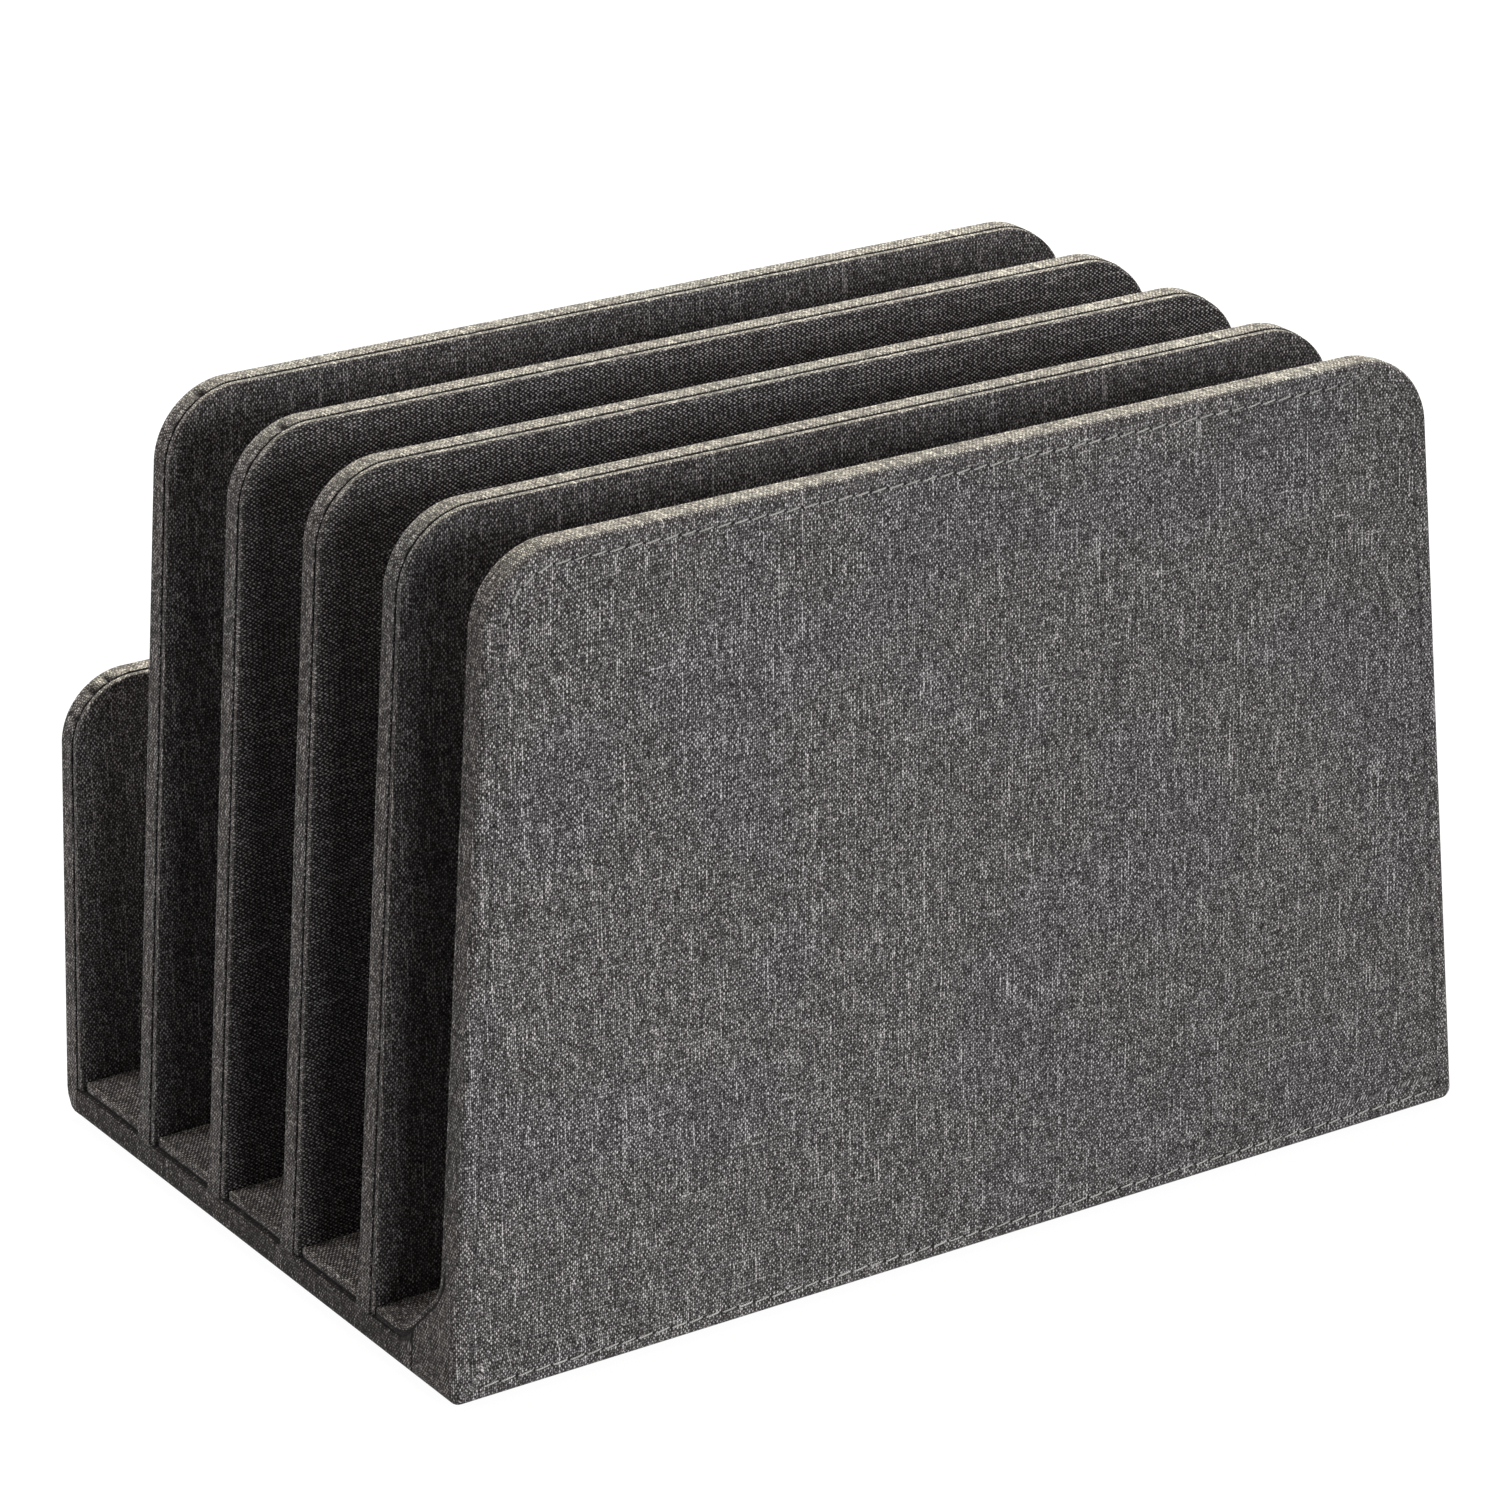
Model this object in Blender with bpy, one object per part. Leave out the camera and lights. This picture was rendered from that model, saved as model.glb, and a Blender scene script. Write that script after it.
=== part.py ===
"""Device organizer stand: fabric-wrapped boards that make five upright slots on one base.

Every panel is a thin board. A fabric cover goes round its outer face and edges and is turned over
the other face as a hem, and a fabric-covered card hides the hems. The dividers have tongues that
stand in grooves in the base board. The front panel's inner card runs down, round a cove and along
the floor of the first slot.

Metres, Z up. The origin is on the table under the middle of the stand. X runs along the slots,
and the tall front panel faces -Y.
"""
import math
from typing import NamedTuple

import bmesh
import bpy

MM = 0.001

# Overall sizes, with heights taken from the foot of the fabric
WIDTH = 280.0 * MM
TOP_WIDTH = 248.0 * MM
BACK_TOP_WIDTH = 269.0 * MM
DIVIDER_HEIGHT = 190.6 * MM
FRONT_HEIGHT = 191.8 * MM
BACK_HEIGHT = 111.0 * MM
DIVIDER_COUNT = 4
DIVIDER_PITCH = 35.2 * MM
BACK_SLOT = 29.6 * MM

# Sheets and boards
FABRIC = 0.7 * MM
SEAT = 0.3 * MM
PANEL_BOARD = 3.0 * MM
BASE_BOARD = 5.3 * MM
FACING_CARD = 2.5 * MM
FLOOR_CARD = 2.3 * MM
LINING = 1.0 * MM

# How the fabric and the cards are cut
HEM = 12.0 * MM
CARD_SETBACK = 1.2 * MM
LINING_SETBACK = 4.0 * MM
LINING_CORNER = 5.0 * MM

# Round corners and soft edges
SHOULDER_RADIUS = 19.0 * MM
BACK_SHOULDER_RADIUS = 17.0 * MM
FOOT_RADIUS = 3.0 * MM
FRONT_EDGE = 1.6 * MM
DIVIDER_EDGE = 1.2 * MM
CARD_EDGE = 0.8 * MM
BASE_EDGE = 1.2 * MM
BACK_FOOT_ROUND = 3.6 * MM

# The slanted, coved corner behind the front panel
COVE_LEG = 14.5 * MM
COVE_BEND = 10.0 * MM
FOOT_DEPTH = 17.8 * MM
FILLER_BROW = 2.2 * MM
FILLER_TOE = 3.2 * MM

# Tongues and grooves
TONGUE_DEPTH = 2.2 * MM
TONGUE_SETBACK = 20.0 * MM

OVERRUN = 5.0 * MM

# Facets
SHOULDER_FACETS = 8
FOOT_FACETS = 3
COVE_FACETS = 5
EDGE_FACETS = 3
CARD_FACETS = 2
SMOOTH_ANGLE = math.radians(30)

# Levels above the table, from the lining up to the slot floors
FOOT_LEVEL = LINING + SEAT
BOARD_LEVEL = FOOT_LEVEL + FABRIC + SEAT
BOARD_TOP = BOARD_LEVEL + BASE_BOARD
HEM_TOP = BOARD_TOP + SEAT + FABRIC
CARD_LEVEL = HEM_TOP + SEAT
FLOOR_LEVEL = CARD_LEVEL + FLOOR_CARD

# Depths through a panel, from the face that the fabric covers
WRAP = FABRIC + SEAT + PANEL_BOARD + SEAT + FABRIC
DIVIDER_DEPTH = WRAP + SEAT + FACING_CARD
FRONT_DEPTH = WRAP + SEAT + FLOOR_CARD

# Places along Y, from the front face of the stand
DIVIDER_FRONTS = [(number + 1) * DIVIDER_PITCH for number in range(DIVIDER_COUNT)]
BACK_FRONT = DIVIDER_FRONTS[-1] + DIVIDER_DEPTH + BACK_SLOT
DEPTH = BACK_FRONT + DIVIDER_DEPTH
BASE_START = FOOT_DEPTH + SEAT
BASE_END = DEPTH - WRAP - SEAT

# The axes of the cove's two bends, in Y and Z, and the filler under its slanted face
COVE_TANGENT = COVE_BEND * math.tan(math.pi / 8)
UPPER_AXIS = (FRONT_DEPTH + COVE_BEND, FLOOR_LEVEL + COVE_LEG + COVE_TANGENT)
LOWER_AXIS = (FRONT_DEPTH + COVE_LEG + COVE_TANGENT, FLOOR_LEVEL + COVE_BEND)
FILLER_RADIUS = COVE_BEND + FLOOR_CARD + SEAT
FILLER_TOP = UPPER_AXIS[1] - FILLER_BROW


class Form(NamedTuple):
    """The outline of a panel seen from the front."""
    low: float
    high: float
    lean: float
    shoulder: float
    foot: float


LEAN = (WIDTH - TOP_WIDTH) / 2 / DIVIDER_HEIGHT
BACK_LEAN = (WIDTH - BACK_TOP_WIDTH) / 2 / BACK_HEIGHT
FRONT_FORM = Form(FOOT_LEVEL, FOOT_LEVEL + FRONT_HEIGHT, LEAN, SHOULDER_RADIUS, FOOT_RADIUS)
DIVIDER_FORM = Form(CARD_LEVEL, FOOT_LEVEL + DIVIDER_HEIGHT, LEAN, SHOULDER_RADIUS, 0)
BACK_FORM = Form(FOOT_LEVEL, FOOT_LEVEL + BACK_HEIGHT, BACK_LEAN, BACK_SHOULDER_RADIUS, FOOT_RADIUS)
BASE_FORM = Form(FOOT_LEVEL, HEM_TOP, LEAN, BASE_EDGE, BASE_EDGE)


def clear_scene():
    """Start from an empty file."""
    for item in list(bpy.data.objects):
        bpy.data.objects.remove(item)


def finish(name, colour, roughness):
    """A plain Principled material."""
    material = bpy.data.materials.new(name)
    material.use_nodes = True
    shader = material.node_tree.nodes["Principled BSDF"]
    shader.inputs["Base Color"].default_value = (*colour, 1)
    shader.inputs["Roughness"].default_value = roughness
    shader.inputs["Metallic"].default_value = 0
    return material


def arc(centre, radius, start, end, facets):
    """Points of a round stretch about a centre, from one angle to another."""
    turns = [start + (end - start) * step / facets for step in range(facets + 1)]
    return [(centre[0] + radius * math.cos(turn), centre[1] + radius * math.sin(turn)) for turn in turns]


def outline(form, draw_in=0, open_foot=False):
    """Points in X and Z round a panel, drawn in from its edge by an even margin.

    They start at the right foot, go over the top and end at the left foot. With an open foot the
    lower edge stays where it is, and its corners are square.
    """
    slant = math.hypot(1, form.lean)
    low = form.low if open_foot else form.low + draw_in
    high = form.high - draw_in
    side_turn = math.atan(form.lean)

    def half(height):
        return WIDTH / 2 - form.lean * (height - FOOT_LEVEL) - draw_in * slant

    right = [(half(low), low)]
    foot = 0 if open_foot else max(form.foot - draw_in, 0)
    if foot > 0:
        centre = (half(low + foot) - foot * slant, low + foot)
        right = arc(centre, foot, -math.pi / 2, side_turn, FOOT_FACETS)
    shoulder = max(form.shoulder - draw_in, 0)
    if shoulder > 0:
        centre = (half(high - shoulder) - shoulder * slant, high - shoulder)
        right += arc(centre, shoulder, side_turn, math.pi / 2, SHOULDER_FACETS)
    else:
        right.append((half(high), high))
    left = [(-x, z) for x, z in reversed(right)]
    return right + left


def extruded(points, axis, start, end):
    """A prism on a drawn outline: (x, z) points extruded along Y, or (y, z) points along X."""
    shape = bmesh.new()
    corners = [(x, start, z) if axis == "Y" else (start, x, z) for x, z in points]
    face = shape.faces.new([shape.verts.new(corner) for corner in corners])
    grown = bmesh.ops.extrude_face_region(shape, geom=[face])["geom"]
    far = [item for item in grown if isinstance(item, bmesh.types.BMVert)]
    travel = (0, end - start, 0) if axis == "Y" else (end - start, 0, 0)
    bmesh.ops.translate(shape, verts=far, vec=travel)
    return shape


def soften(shape, depth, radius, facets):
    """Round the rim of the face that lies at one depth."""
    if radius <= 0:
        return
    near = radius / 10
    rim = [edge for edge in shape.edges if all(abs(vert.co.y - depth) < near for vert in edge.verts)]
    bmesh.ops.bevel(shape, geom=rim, offset=radius, offset_type="OFFSET", segments=facets,
                    profile=0.5, affect="EDGES", material=-1)


def place(name, shape, material=None, parent=None):
    """Make an object of a finished shape."""
    bmesh.ops.recalc_face_normals(shape, faces=shape.faces)
    mesh = bpy.data.meshes.new(name)
    shape.to_mesh(mesh)
    shape.free()
    piece = bpy.data.objects.new(name, mesh)
    bpy.context.scene.collection.objects.link(piece)
    dress(piece, material, parent)
    return piece


def dress(piece, material, parent):
    """Give a piece its material, its shading and the group that carries it."""
    if material:
        piece.data.materials.clear()
        piece.data.materials.append(material)
        piece.data.shade_smooth()
        piece.data.set_sharp_from_angle(angle=SMOOTH_ANGLE)
    if parent:
        piece.parent = parent


def carve(piece, tools, operation="DIFFERENCE"):
    """Cut tools out of a piece, or keep only what it shares with them, and put the tools away."""
    for tool in tools:
        tool.hide_render = True
        tool.display_type = "WIRE"
        cut = piece.modifiers.new(tool.name, "BOOLEAN")
        cut.operation = operation
        cut.solver = "EXACT"
        cut.object = tool
    bpy.context.view_layer.update()
    graph = bpy.context.evaluated_depsgraph_get()
    piece.data = bpy.data.meshes.new_from_object(piece.evaluated_get(graph))
    piece.modifiers.clear()
    for tool in tools:
        bpy.data.objects.remove(tool)
    return piece


def group(name, depth):
    """An empty that carries the pieces of one panel, on the panel's front face."""
    empty = bpy.data.objects.new(name, None)
    empty.location = (0, depth - DEPTH / 2, 0)
    bpy.context.scene.collection.objects.link(empty)
    return empty


def slab(name, form, draw_in, front, rear, soft_depth, edge, open_foot=False):
    """A panel-shaped slab, with one rim softened by what the margin leaves of the edge's radius."""
    shape = extruded(outline(form, draw_in, open_foot), "Y", front, rear)
    soften(shape, soft_depth, max(edge - draw_in, 0), EDGE_FACETS)
    return place(name, shape)


def cove_path(radius, start_drop=0, end_depth=LOWER_AXIS[0]):
    """Points in Y and Z down the cove: its upper bend, its slanted face and its lower bend."""
    start = math.pi + math.asin(start_drop / radius)
    end = math.pi + math.acos((LOWER_AXIS[0] - end_depth) / radius)
    upper = arc(UPPER_AXIS, radius, start, math.pi * 5 / 4, COVE_FACETS)
    return upper + arc(LOWER_AXIS, radius, math.pi * 5 / 4, end, COVE_FACETS)


def make_front_panel(fabric, board, filler):
    """The tall front panel: its board, the coved strip behind its foot, its cover and its liner."""
    panel = group("front_panel", 0)
    inner = FABRIC + SEAT
    hem_front = WRAP - FABRIC

    core = slab("front_board", FRONT_FORM, inner, inner, inner + PANEL_BOARD, inner, FRONT_EDGE)
    dress(core, board, panel)

    # The strip's curve starts at the brow, where it is still thick enough to cut, and its toe
    # reaches over the base
    toe_depth = FOOT_DEPTH + FILLER_TOE
    curve = cove_path(FILLER_RADIUS, FILLER_BROW, toe_depth)
    section = [(hem_front, BOARD_LEVEL), (hem_front, FILLER_TOP), *curve,
               (toe_depth, CARD_LEVEL), (FOOT_DEPTH, CARD_LEVEL), (FOOT_DEPTH, BOARD_LEVEL)]
    reach = WIDTH / 2 + OVERRUN
    strip = place("cove_filler", extruded(section, "X", -reach, reach))
    ends = slab("filler_ends", FRONT_FORM, inner, 0, toe_depth + OVERRUN, 0, 0)
    dress(carve(strip, [ends], "INTERSECT"), filler, panel)

    # The cover's side view: a thin panel that swells behind its foot, under the cove
    profile = [(-OVERRUN, 0), (-OVERRUN, FRONT_HEIGHT + OVERRUN), (WRAP, FRONT_HEIGHT + OVERRUN)]
    profile += cove_path(FILLER_RADIUS, end_depth=FOOT_DEPTH) + [(FOOT_DEPTH, 0)]
    cover = slab("front_cover", FRONT_FORM, 0, 0, FOOT_DEPTH + OVERRUN, 0, FRONT_EDGE)
    carve(cover, [place("cover_side", extruded(profile, "X", -reach, reach))], "INTERSECT")
    past = FOOT_DEPTH + 2 * OVERRUN
    hem_foot = FILLER_TOP + SEAT
    window_form = FRONT_FORM._replace(low=hem_foot)
    foot_form = FRONT_FORM._replace(high=hem_foot + FABRIC, shoulder=0)
    carve(cover, [
        slab("cover_room", FRONT_FORM, FABRIC, FABRIC, hem_front, FABRIC, FRONT_EDGE),
        slab("cover_window", window_form, FABRIC + HEM, inner + SEAT, past, 0, 0, open_foot=True),
        slab("cover_foot_room", foot_form, FABRIC, inner, past, 0, 0),
    ])
    dress(cover, fabric, panel)

    # The liner follows one path: down the panel, round the cove and along the first slot
    liner_end = DIVIDER_FRONTS[0] - SEAT
    seen = [(FRONT_DEPTH, FRONT_HEIGHT + OVERRUN), *cove_path(COVE_BEND)]
    seen.append((liner_end, FLOOR_LEVEL))
    glued = [(WRAP + SEAT, FRONT_HEIGHT + OVERRUN), *cove_path(COVE_BEND + FLOOR_CARD)]
    glued.append((liner_end, CARD_LEVEL))
    liner = place("front_liner", extruded(seen + glued[::-1], "X", -reach, reach))
    ends = slab("liner_ends", FRONT_FORM._replace(low=0), CARD_SETBACK, 0, liner_end + OVERRUN, 0, 0,
                open_foot=True)
    dress(carve(liner, [ends], "INTERSECT"), fabric, panel)


def wrapped_cover(name, form, edge, closed_foot):
    """Fabric round a board's rear face and edges, with hems on its front, in a panel's own depth."""
    front = SEAT + FACING_CARD
    room_front = front + FABRIC
    rear = front + WRAP
    cover = slab(name, form, 0, front, rear, rear, edge, open_foot=not closed_foot)
    low = form if closed_foot else form._replace(low=form.low - OVERRUN)
    tools = [
        slab("room", low, FABRIC, room_front, rear - FABRIC, rear - FABRIC, edge,
             open_foot=not closed_foot),
        slab("window", low, FABRIC + HEM, front - OVERRUN, room_front + SEAT, 0, 0,
             open_foot=not closed_foot),
    ]
    return cover, tools


def card(name, form):
    """A fabric-covered card set in from a panel's outline, with a soft rim on its face."""
    shape = extruded(outline(form, CARD_SETBACK, open_foot=True), "Y", 0, FACING_CARD)
    soften(shape, 0, CARD_EDGE, CARD_FACETS)
    return place(name, shape)


def make_dividers(fabric, board):
    """Four equal dividers, each with its board, cover and facing card."""
    inner = FABRIC + SEAT
    board_front = SEAT + FACING_CARD + inner
    half_tongue = TOP_WIDTH / 2 - TONGUE_SETBACK
    tongue_foot = BOARD_TOP - TONGUE_DEPTH
    sides = outline(DIVIDER_FORM, inner, open_foot=True)
    tongue = [(-half_tongue, CARD_LEVEL), (-half_tongue, tongue_foot),
              (half_tongue, tongue_foot), (half_tongue, CARD_LEVEL)]
    shape = extruded(sides + tongue, "Y", board_front, board_front + PANEL_BOARD)
    core = place("divider_board_1", shape)
    dress(core, board, None)
    cover, tools = wrapped_cover("divider_cover_1", DIVIDER_FORM, DIVIDER_EDGE, closed_foot=False)
    dress(carve(cover, tools), fabric, None)
    facing = card("divider_facing_1", DIVIDER_FORM)
    dress(facing, fabric, None)

    for number, depth in enumerate(DIVIDER_FRONTS, 1):
        panel = group(f"divider_{number}", depth)
        for pattern in (core, cover, facing):
            piece = pattern
            if number > 1:
                piece = bpy.data.objects.new(pattern.name[:-1] + str(number), pattern.data)
                bpy.context.scene.collection.objects.link(piece)
            piece.parent = panel


def make_back_panel(fabric, board):
    """The low back panel, whose foot is rounded under the stand's rear edge."""
    panel = group("back_panel", BACK_FRONT)
    inner = FABRIC + SEAT
    board_front = SEAT + FACING_CARD + inner
    board_rear = board_front + PANEL_BOARD
    reach = WIDTH / 2 + OVERRUN

    def rounded_foot(name, draw_in):
        """A side view that rounds the lower rear edge, drawn in from the cover's outer face."""
        rear = DIVIDER_DEPTH - draw_in
        low = FOOT_LEVEL + draw_in
        radius = BACK_FOOT_ROUND - draw_in
        corner = arc((rear - radius, low + radius), radius, -math.pi / 2, 0, SHOULDER_FACETS)
        top = FOOT_LEVEL + BACK_HEIGHT + OVERRUN
        side = [(-OVERRUN, low), *corner, (rear, top), (-OVERRUN, top)]
        return place(name, extruded(side, "X", -reach, reach))

    core = slab("back_board", BACK_FORM, inner, board_front, board_rear, board_rear, DIVIDER_EDGE)
    dress(carve(core, [rounded_foot("board_foot", inner)], "INTERSECT"), board, panel)
    cover, (room, window) = wrapped_cover("back_cover", BACK_FORM, DIVIDER_EDGE, closed_foot=True)
    carve(cover, [rounded_foot("cover_foot", 0)], "INTERSECT")
    carve(room, [rounded_foot("room_foot", FABRIC)], "INTERSECT")
    dress(carve(cover, [room, window]), fabric, panel)
    dress(card("back_facing", BACK_FORM._replace(low=CARD_LEVEL)), fabric, panel)


def make_base(fabric, board, lining):
    """The base: a grooved board in its cover, the slots' floor cards and the lining underneath."""
    base = group("base", 0)
    inner = FABRIC + SEAT
    core = place("base_board", extruded(outline(BASE_FORM, inner), "Y", BASE_START, BASE_END))
    half_groove = TOP_WIDTH / 2 - TONGUE_SETBACK + SEAT
    groove_foot = BOARD_TOP - TONGUE_DEPTH - SEAT
    grooves = []
    for number, depth in enumerate(DIVIDER_FRONTS, 1):
        start = depth + SEAT + FACING_CARD + inner - SEAT
        end = start + PANEL_BOARD + 2 * SEAT
        shape = [(half_groove, groove_foot), (half_groove, BOARD_TOP + OVERRUN),
                 (-half_groove, BOARD_TOP + OVERRUN), (-half_groove, groove_foot)]
        grooves.append(place(f"groove_{number}", extruded(shape, "Y", start, end)))
    dress(carve(core, grooves), board, base)

    cover = place("base_cover", extruded(outline(BASE_FORM), "Y", BASE_START, BASE_END))
    start, end = BASE_START - OVERRUN, BASE_END + OVERRUN
    window_form = BASE_FORM._replace(low=BOARD_TOP, high=HEM_TOP + OVERRUN + FABRIC + HEM,
                                     shoulder=0)
    carve(cover, [
        slab("base_room", BASE_FORM, FABRIC, start, end, 0, 0),
        slab("base_window", window_form, FABRIC + HEM, start, end, 0, 0, open_foot=True),
    ])
    dress(cover, fabric, base)

    # Slot 1 has the liner for its floor, and each other slot has a card of its own
    floor_form = Form(CARD_LEVEL, FLOOR_LEVEL + CARD_SETBACK, LEAN, 0, 0)
    ends = DIVIDER_FRONTS[1:] + [BACK_FRONT]
    for number, (front, end) in enumerate(zip(DIVIDER_FRONTS, ends), 2):
        start = front + DIVIDER_DEPTH + SEAT
        floor = extruded(outline(floor_form, CARD_SETBACK, open_foot=True), "Y", start, end - SEAT)
        dress(place(f"slot_floor_{number}", floor), fabric, base)

    sheet = bmesh.new()
    bmesh.ops.create_cube(sheet, size=1)
    size = (WIDTH - 2 * LINING_SETBACK, DEPTH - 2 * LINING_SETBACK, LINING)
    bmesh.ops.scale(sheet, vec=size, verts=sheet.verts)
    bmesh.ops.translate(sheet, vec=(0, DEPTH / 2, LINING / 2), verts=sheet.verts)
    upright = [edge for edge in sheet.edges if abs(edge.verts[0].co.z - edge.verts[1].co.z) > LINING / 2]
    bmesh.ops.bevel(sheet, geom=upright, offset=LINING_CORNER, offset_type="OFFSET",
                    segments=SHOULDER_FACETS, profile=0.5, affect="EDGES", material=-1)
    dress(place("bottom_lining", sheet), lining, base)


def main():
    """Build the stand and say how large it is."""
    clear_scene()
    fabric = finish("heather_fabric", (0.12, 0.11, 0.108), 0.95)
    board = finish("grey_board", (0.34, 0.31, 0.27), 0.9)
    filler = finish("cove_strip", (0.55, 0.45, 0.32), 0.8)
    lining = finish("felt_lining", (0.02, 0.02, 0.022), 1.0)
    make_front_panel(fabric, board, filler)
    make_dividers(fabric, board)
    make_back_panel(fabric, board)
    make_base(fabric, board, lining)
    height = FOOT_LEVEL + FRONT_HEIGHT
    print(f"stand {WIDTH / MM:.1f} x {DEPTH / MM:.1f} x {height / MM:.1f} mm")
    print(f"slots {(DIVIDER_PITCH - DIVIDER_DEPTH) / MM:.1f} mm, back slot {BACK_SLOT / MM:.1f} mm")


main()
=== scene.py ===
# %% [markdown]
# # Dressing a fabric-wrapped organizer stand
#
# The stand is a set of thin boards with grey heather cloth glued round them: a tall front panel,
# four dividers, a low back panel and a base. The boards come ready made from the CAD model. This
# lesson makes what the eye meets, which is cloth that turns round edges, cards covered with the
# same cloth, a line of stitches, and a light that shows the weave.

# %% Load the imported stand
import math

import bmesh
import bpy
from mathutils import Matrix, Vector, kdtree, noise


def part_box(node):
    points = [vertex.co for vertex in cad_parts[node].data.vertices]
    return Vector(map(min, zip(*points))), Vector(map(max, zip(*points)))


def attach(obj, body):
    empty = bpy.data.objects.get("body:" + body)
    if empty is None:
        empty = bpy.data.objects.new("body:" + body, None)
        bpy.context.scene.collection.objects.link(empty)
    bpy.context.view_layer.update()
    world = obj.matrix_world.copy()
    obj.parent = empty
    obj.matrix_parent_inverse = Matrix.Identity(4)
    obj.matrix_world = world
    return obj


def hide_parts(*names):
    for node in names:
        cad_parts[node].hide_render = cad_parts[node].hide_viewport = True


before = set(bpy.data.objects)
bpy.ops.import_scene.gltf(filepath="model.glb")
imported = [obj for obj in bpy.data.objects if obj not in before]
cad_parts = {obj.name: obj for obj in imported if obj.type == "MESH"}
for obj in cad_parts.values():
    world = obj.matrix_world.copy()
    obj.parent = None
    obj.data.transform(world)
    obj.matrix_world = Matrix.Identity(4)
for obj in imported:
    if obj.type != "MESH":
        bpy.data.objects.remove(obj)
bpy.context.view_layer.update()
MM = 0.001

# %% [markdown]
# ## The camera
#
# The photograph was taken from the left front corner, a little above the stand, with a long lens.
# Its place was solved from the straight edges of the panels. A camera could be aimed with a Track
# To constraint, but three solved directions go straight into a matrix and leave no roll to guess.

# %% Place the camera
CAMERA_PLACE = (-0.6566, -1.01897, 0.56797)
CAMERA_RIGHT = (0.83765, -0.54600, -0.01473)
CAMERA_UP = (0.21061, 0.29799, 0.93105)
CAMERA_AHEAD = (0.50396, 0.78300, -0.36460)
LENS = 132.22
SENSOR = 36


def new_object(name, data):
    """An object in the scene, at the origin and unturned."""
    made = bpy.data.objects.new(name, data)
    bpy.context.scene.collection.objects.link(made)
    return made


camera = new_object("camera", bpy.data.cameras.new("camera"))
turned = Matrix([CAMERA_RIGHT, CAMERA_UP, -Vector(CAMERA_AHEAD)]).transposed()
camera.matrix_world = Matrix.Translation(CAMERA_PLACE) @ turned.to_4x4()
camera.data.lens = LENS
camera.data.sensor_width = SENSOR
camera.data.clip_start = 0.05
bpy.context.scene.camera = camera
print("lens", LENS, "mm, looking down", round(math.degrees(math.asin(-CAMERA_AHEAD[2])), 1), "degrees")

# %% [markdown]
# ## The sizes that the cloth follows
#
# Each cover starts on its board's outline, so the slants and round corners are written down once.
# The places along the stand come from the CAD nodes themselves, which keeps every piece on the
# node that it dresses.

# %% Sizes of the panels
HALF_WIDTH = 140 * MM
FOOT = 1.3 * MM
TABLE_TOP = 8.9 * MM
SLOT_FLOOR = 11.2 * MM
CLOTH = 0.7 * MM
CARD_MARGIN = 0.35 * MM
FACING_CARD = 1.9 * MM
FLOOR_CARD = 2.3 * MM
DIVIDER_TOP = 191.9 * MM
FRONT_TOP = 193.1 * MM
BACK_TOP = 112.3 * MM
LEAN = 16 / 190.6
BACK_LEAN = 5.5 / 111
SHOULDER = 19 * MM
BACK_SHOULDER = 17 * MM
FOOT_CORNER = 2.6 * MM
COVE_LEG = 14.5 * MM
COVE_BEND = 10 * MM

FRONT_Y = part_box("front_cover")[0].y
FOOT_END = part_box("front_cover")[1].y
DIVIDER_Y = [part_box(f"divider_facing_{number}")[0].y for number in (1, 2, 3, 4)]
BACK_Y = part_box("back_facing")[0].y
BASE_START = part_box("base_cover")[0].y
BASE_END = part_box("base_cover")[1].y
LINER_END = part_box("front_liner")[1].y
PANEL_DEPTH = 7.8 * MM
LINER_Y = FRONT_Y + 7.6 * MM
COVE_TANGENT = COVE_BEND * math.tan(math.pi / 8)
UPPER_AXIS = (LINER_Y + COVE_BEND, SLOT_FLOOR + COVE_LEG + COVE_TANGENT)
LOWER_AXIS = (LINER_Y + COVE_LEG + COVE_TANGENT, SLOT_FLOOR + COVE_BEND)
print("dividers start at y =", [round(y / MM, 1) for y in DIVIDER_Y], "mm")

# %% [markdown]
# ## Cloth grows ring by ring
#
# On the real stand a flat piece of cloth is laid on a board, turned round its edges and glued
# down as a hem. The model is made in the same order. An outline is drawn from four corners, its
# corners are rounded with a vertex bevel, and its edges are extruded again and again, each new
# ring a little further in or a little deeper. A Solidify modifier on a bent plane would be
# quicker, but growing the rings also tells how far the cloth has travelled, and the weave
# needs that to run round the edges without a break.

# %% Start a piece of cloth
ARC_STEP = 0.6 * MM
HOLD = 0.3 * MM

# What a point remembers: its place round the outline and on the flat cloth; how much wear and
# painted highlight, stitching, painted shade and painted rib light and shade the cloth has there;
# and how far it has turned away from front and rear, which tints it with painted warm light
LAYERS = ("along", "cloth_u", "cloth_v", "fold", "stitched", "shade", "rib_light_and_shade", "edge")


def new_shape():
    """An empty mesh that remembers, at each point, where it lies on the flat cloth."""
    shape = bmesh.new()
    for name in LAYERS:
        shape.verts.layers.float.new(name)
    return shape


def layer(shape, name):
    """One of the numbers that every point remembers."""
    return shape.verts.layers.float[name]


def corners_of(low, high, lean, margin=0.0):
    """The four corners of a leaning panel, from the right foot round to the left foot."""
    slant = math.hypot(1, lean)

    def half(height):
        return HALF_WIDTH - lean * (height - FOOT) - margin * slant

    return [(half(low), low), (half(high), high), (-half(high), high), (-half(low), low)]


def to_mesh(name, shape):
    """A mesh from a shape, which is used up."""
    mesh = bpy.data.meshes.new(name)
    shape.to_mesh(mesh)
    shape.free()
    return mesh


def all_of(shape):
    """Everything in a shape, as the cutting operators want it."""
    return list(shape.verts) + list(shape.edges) + list(shape.faces)


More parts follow.
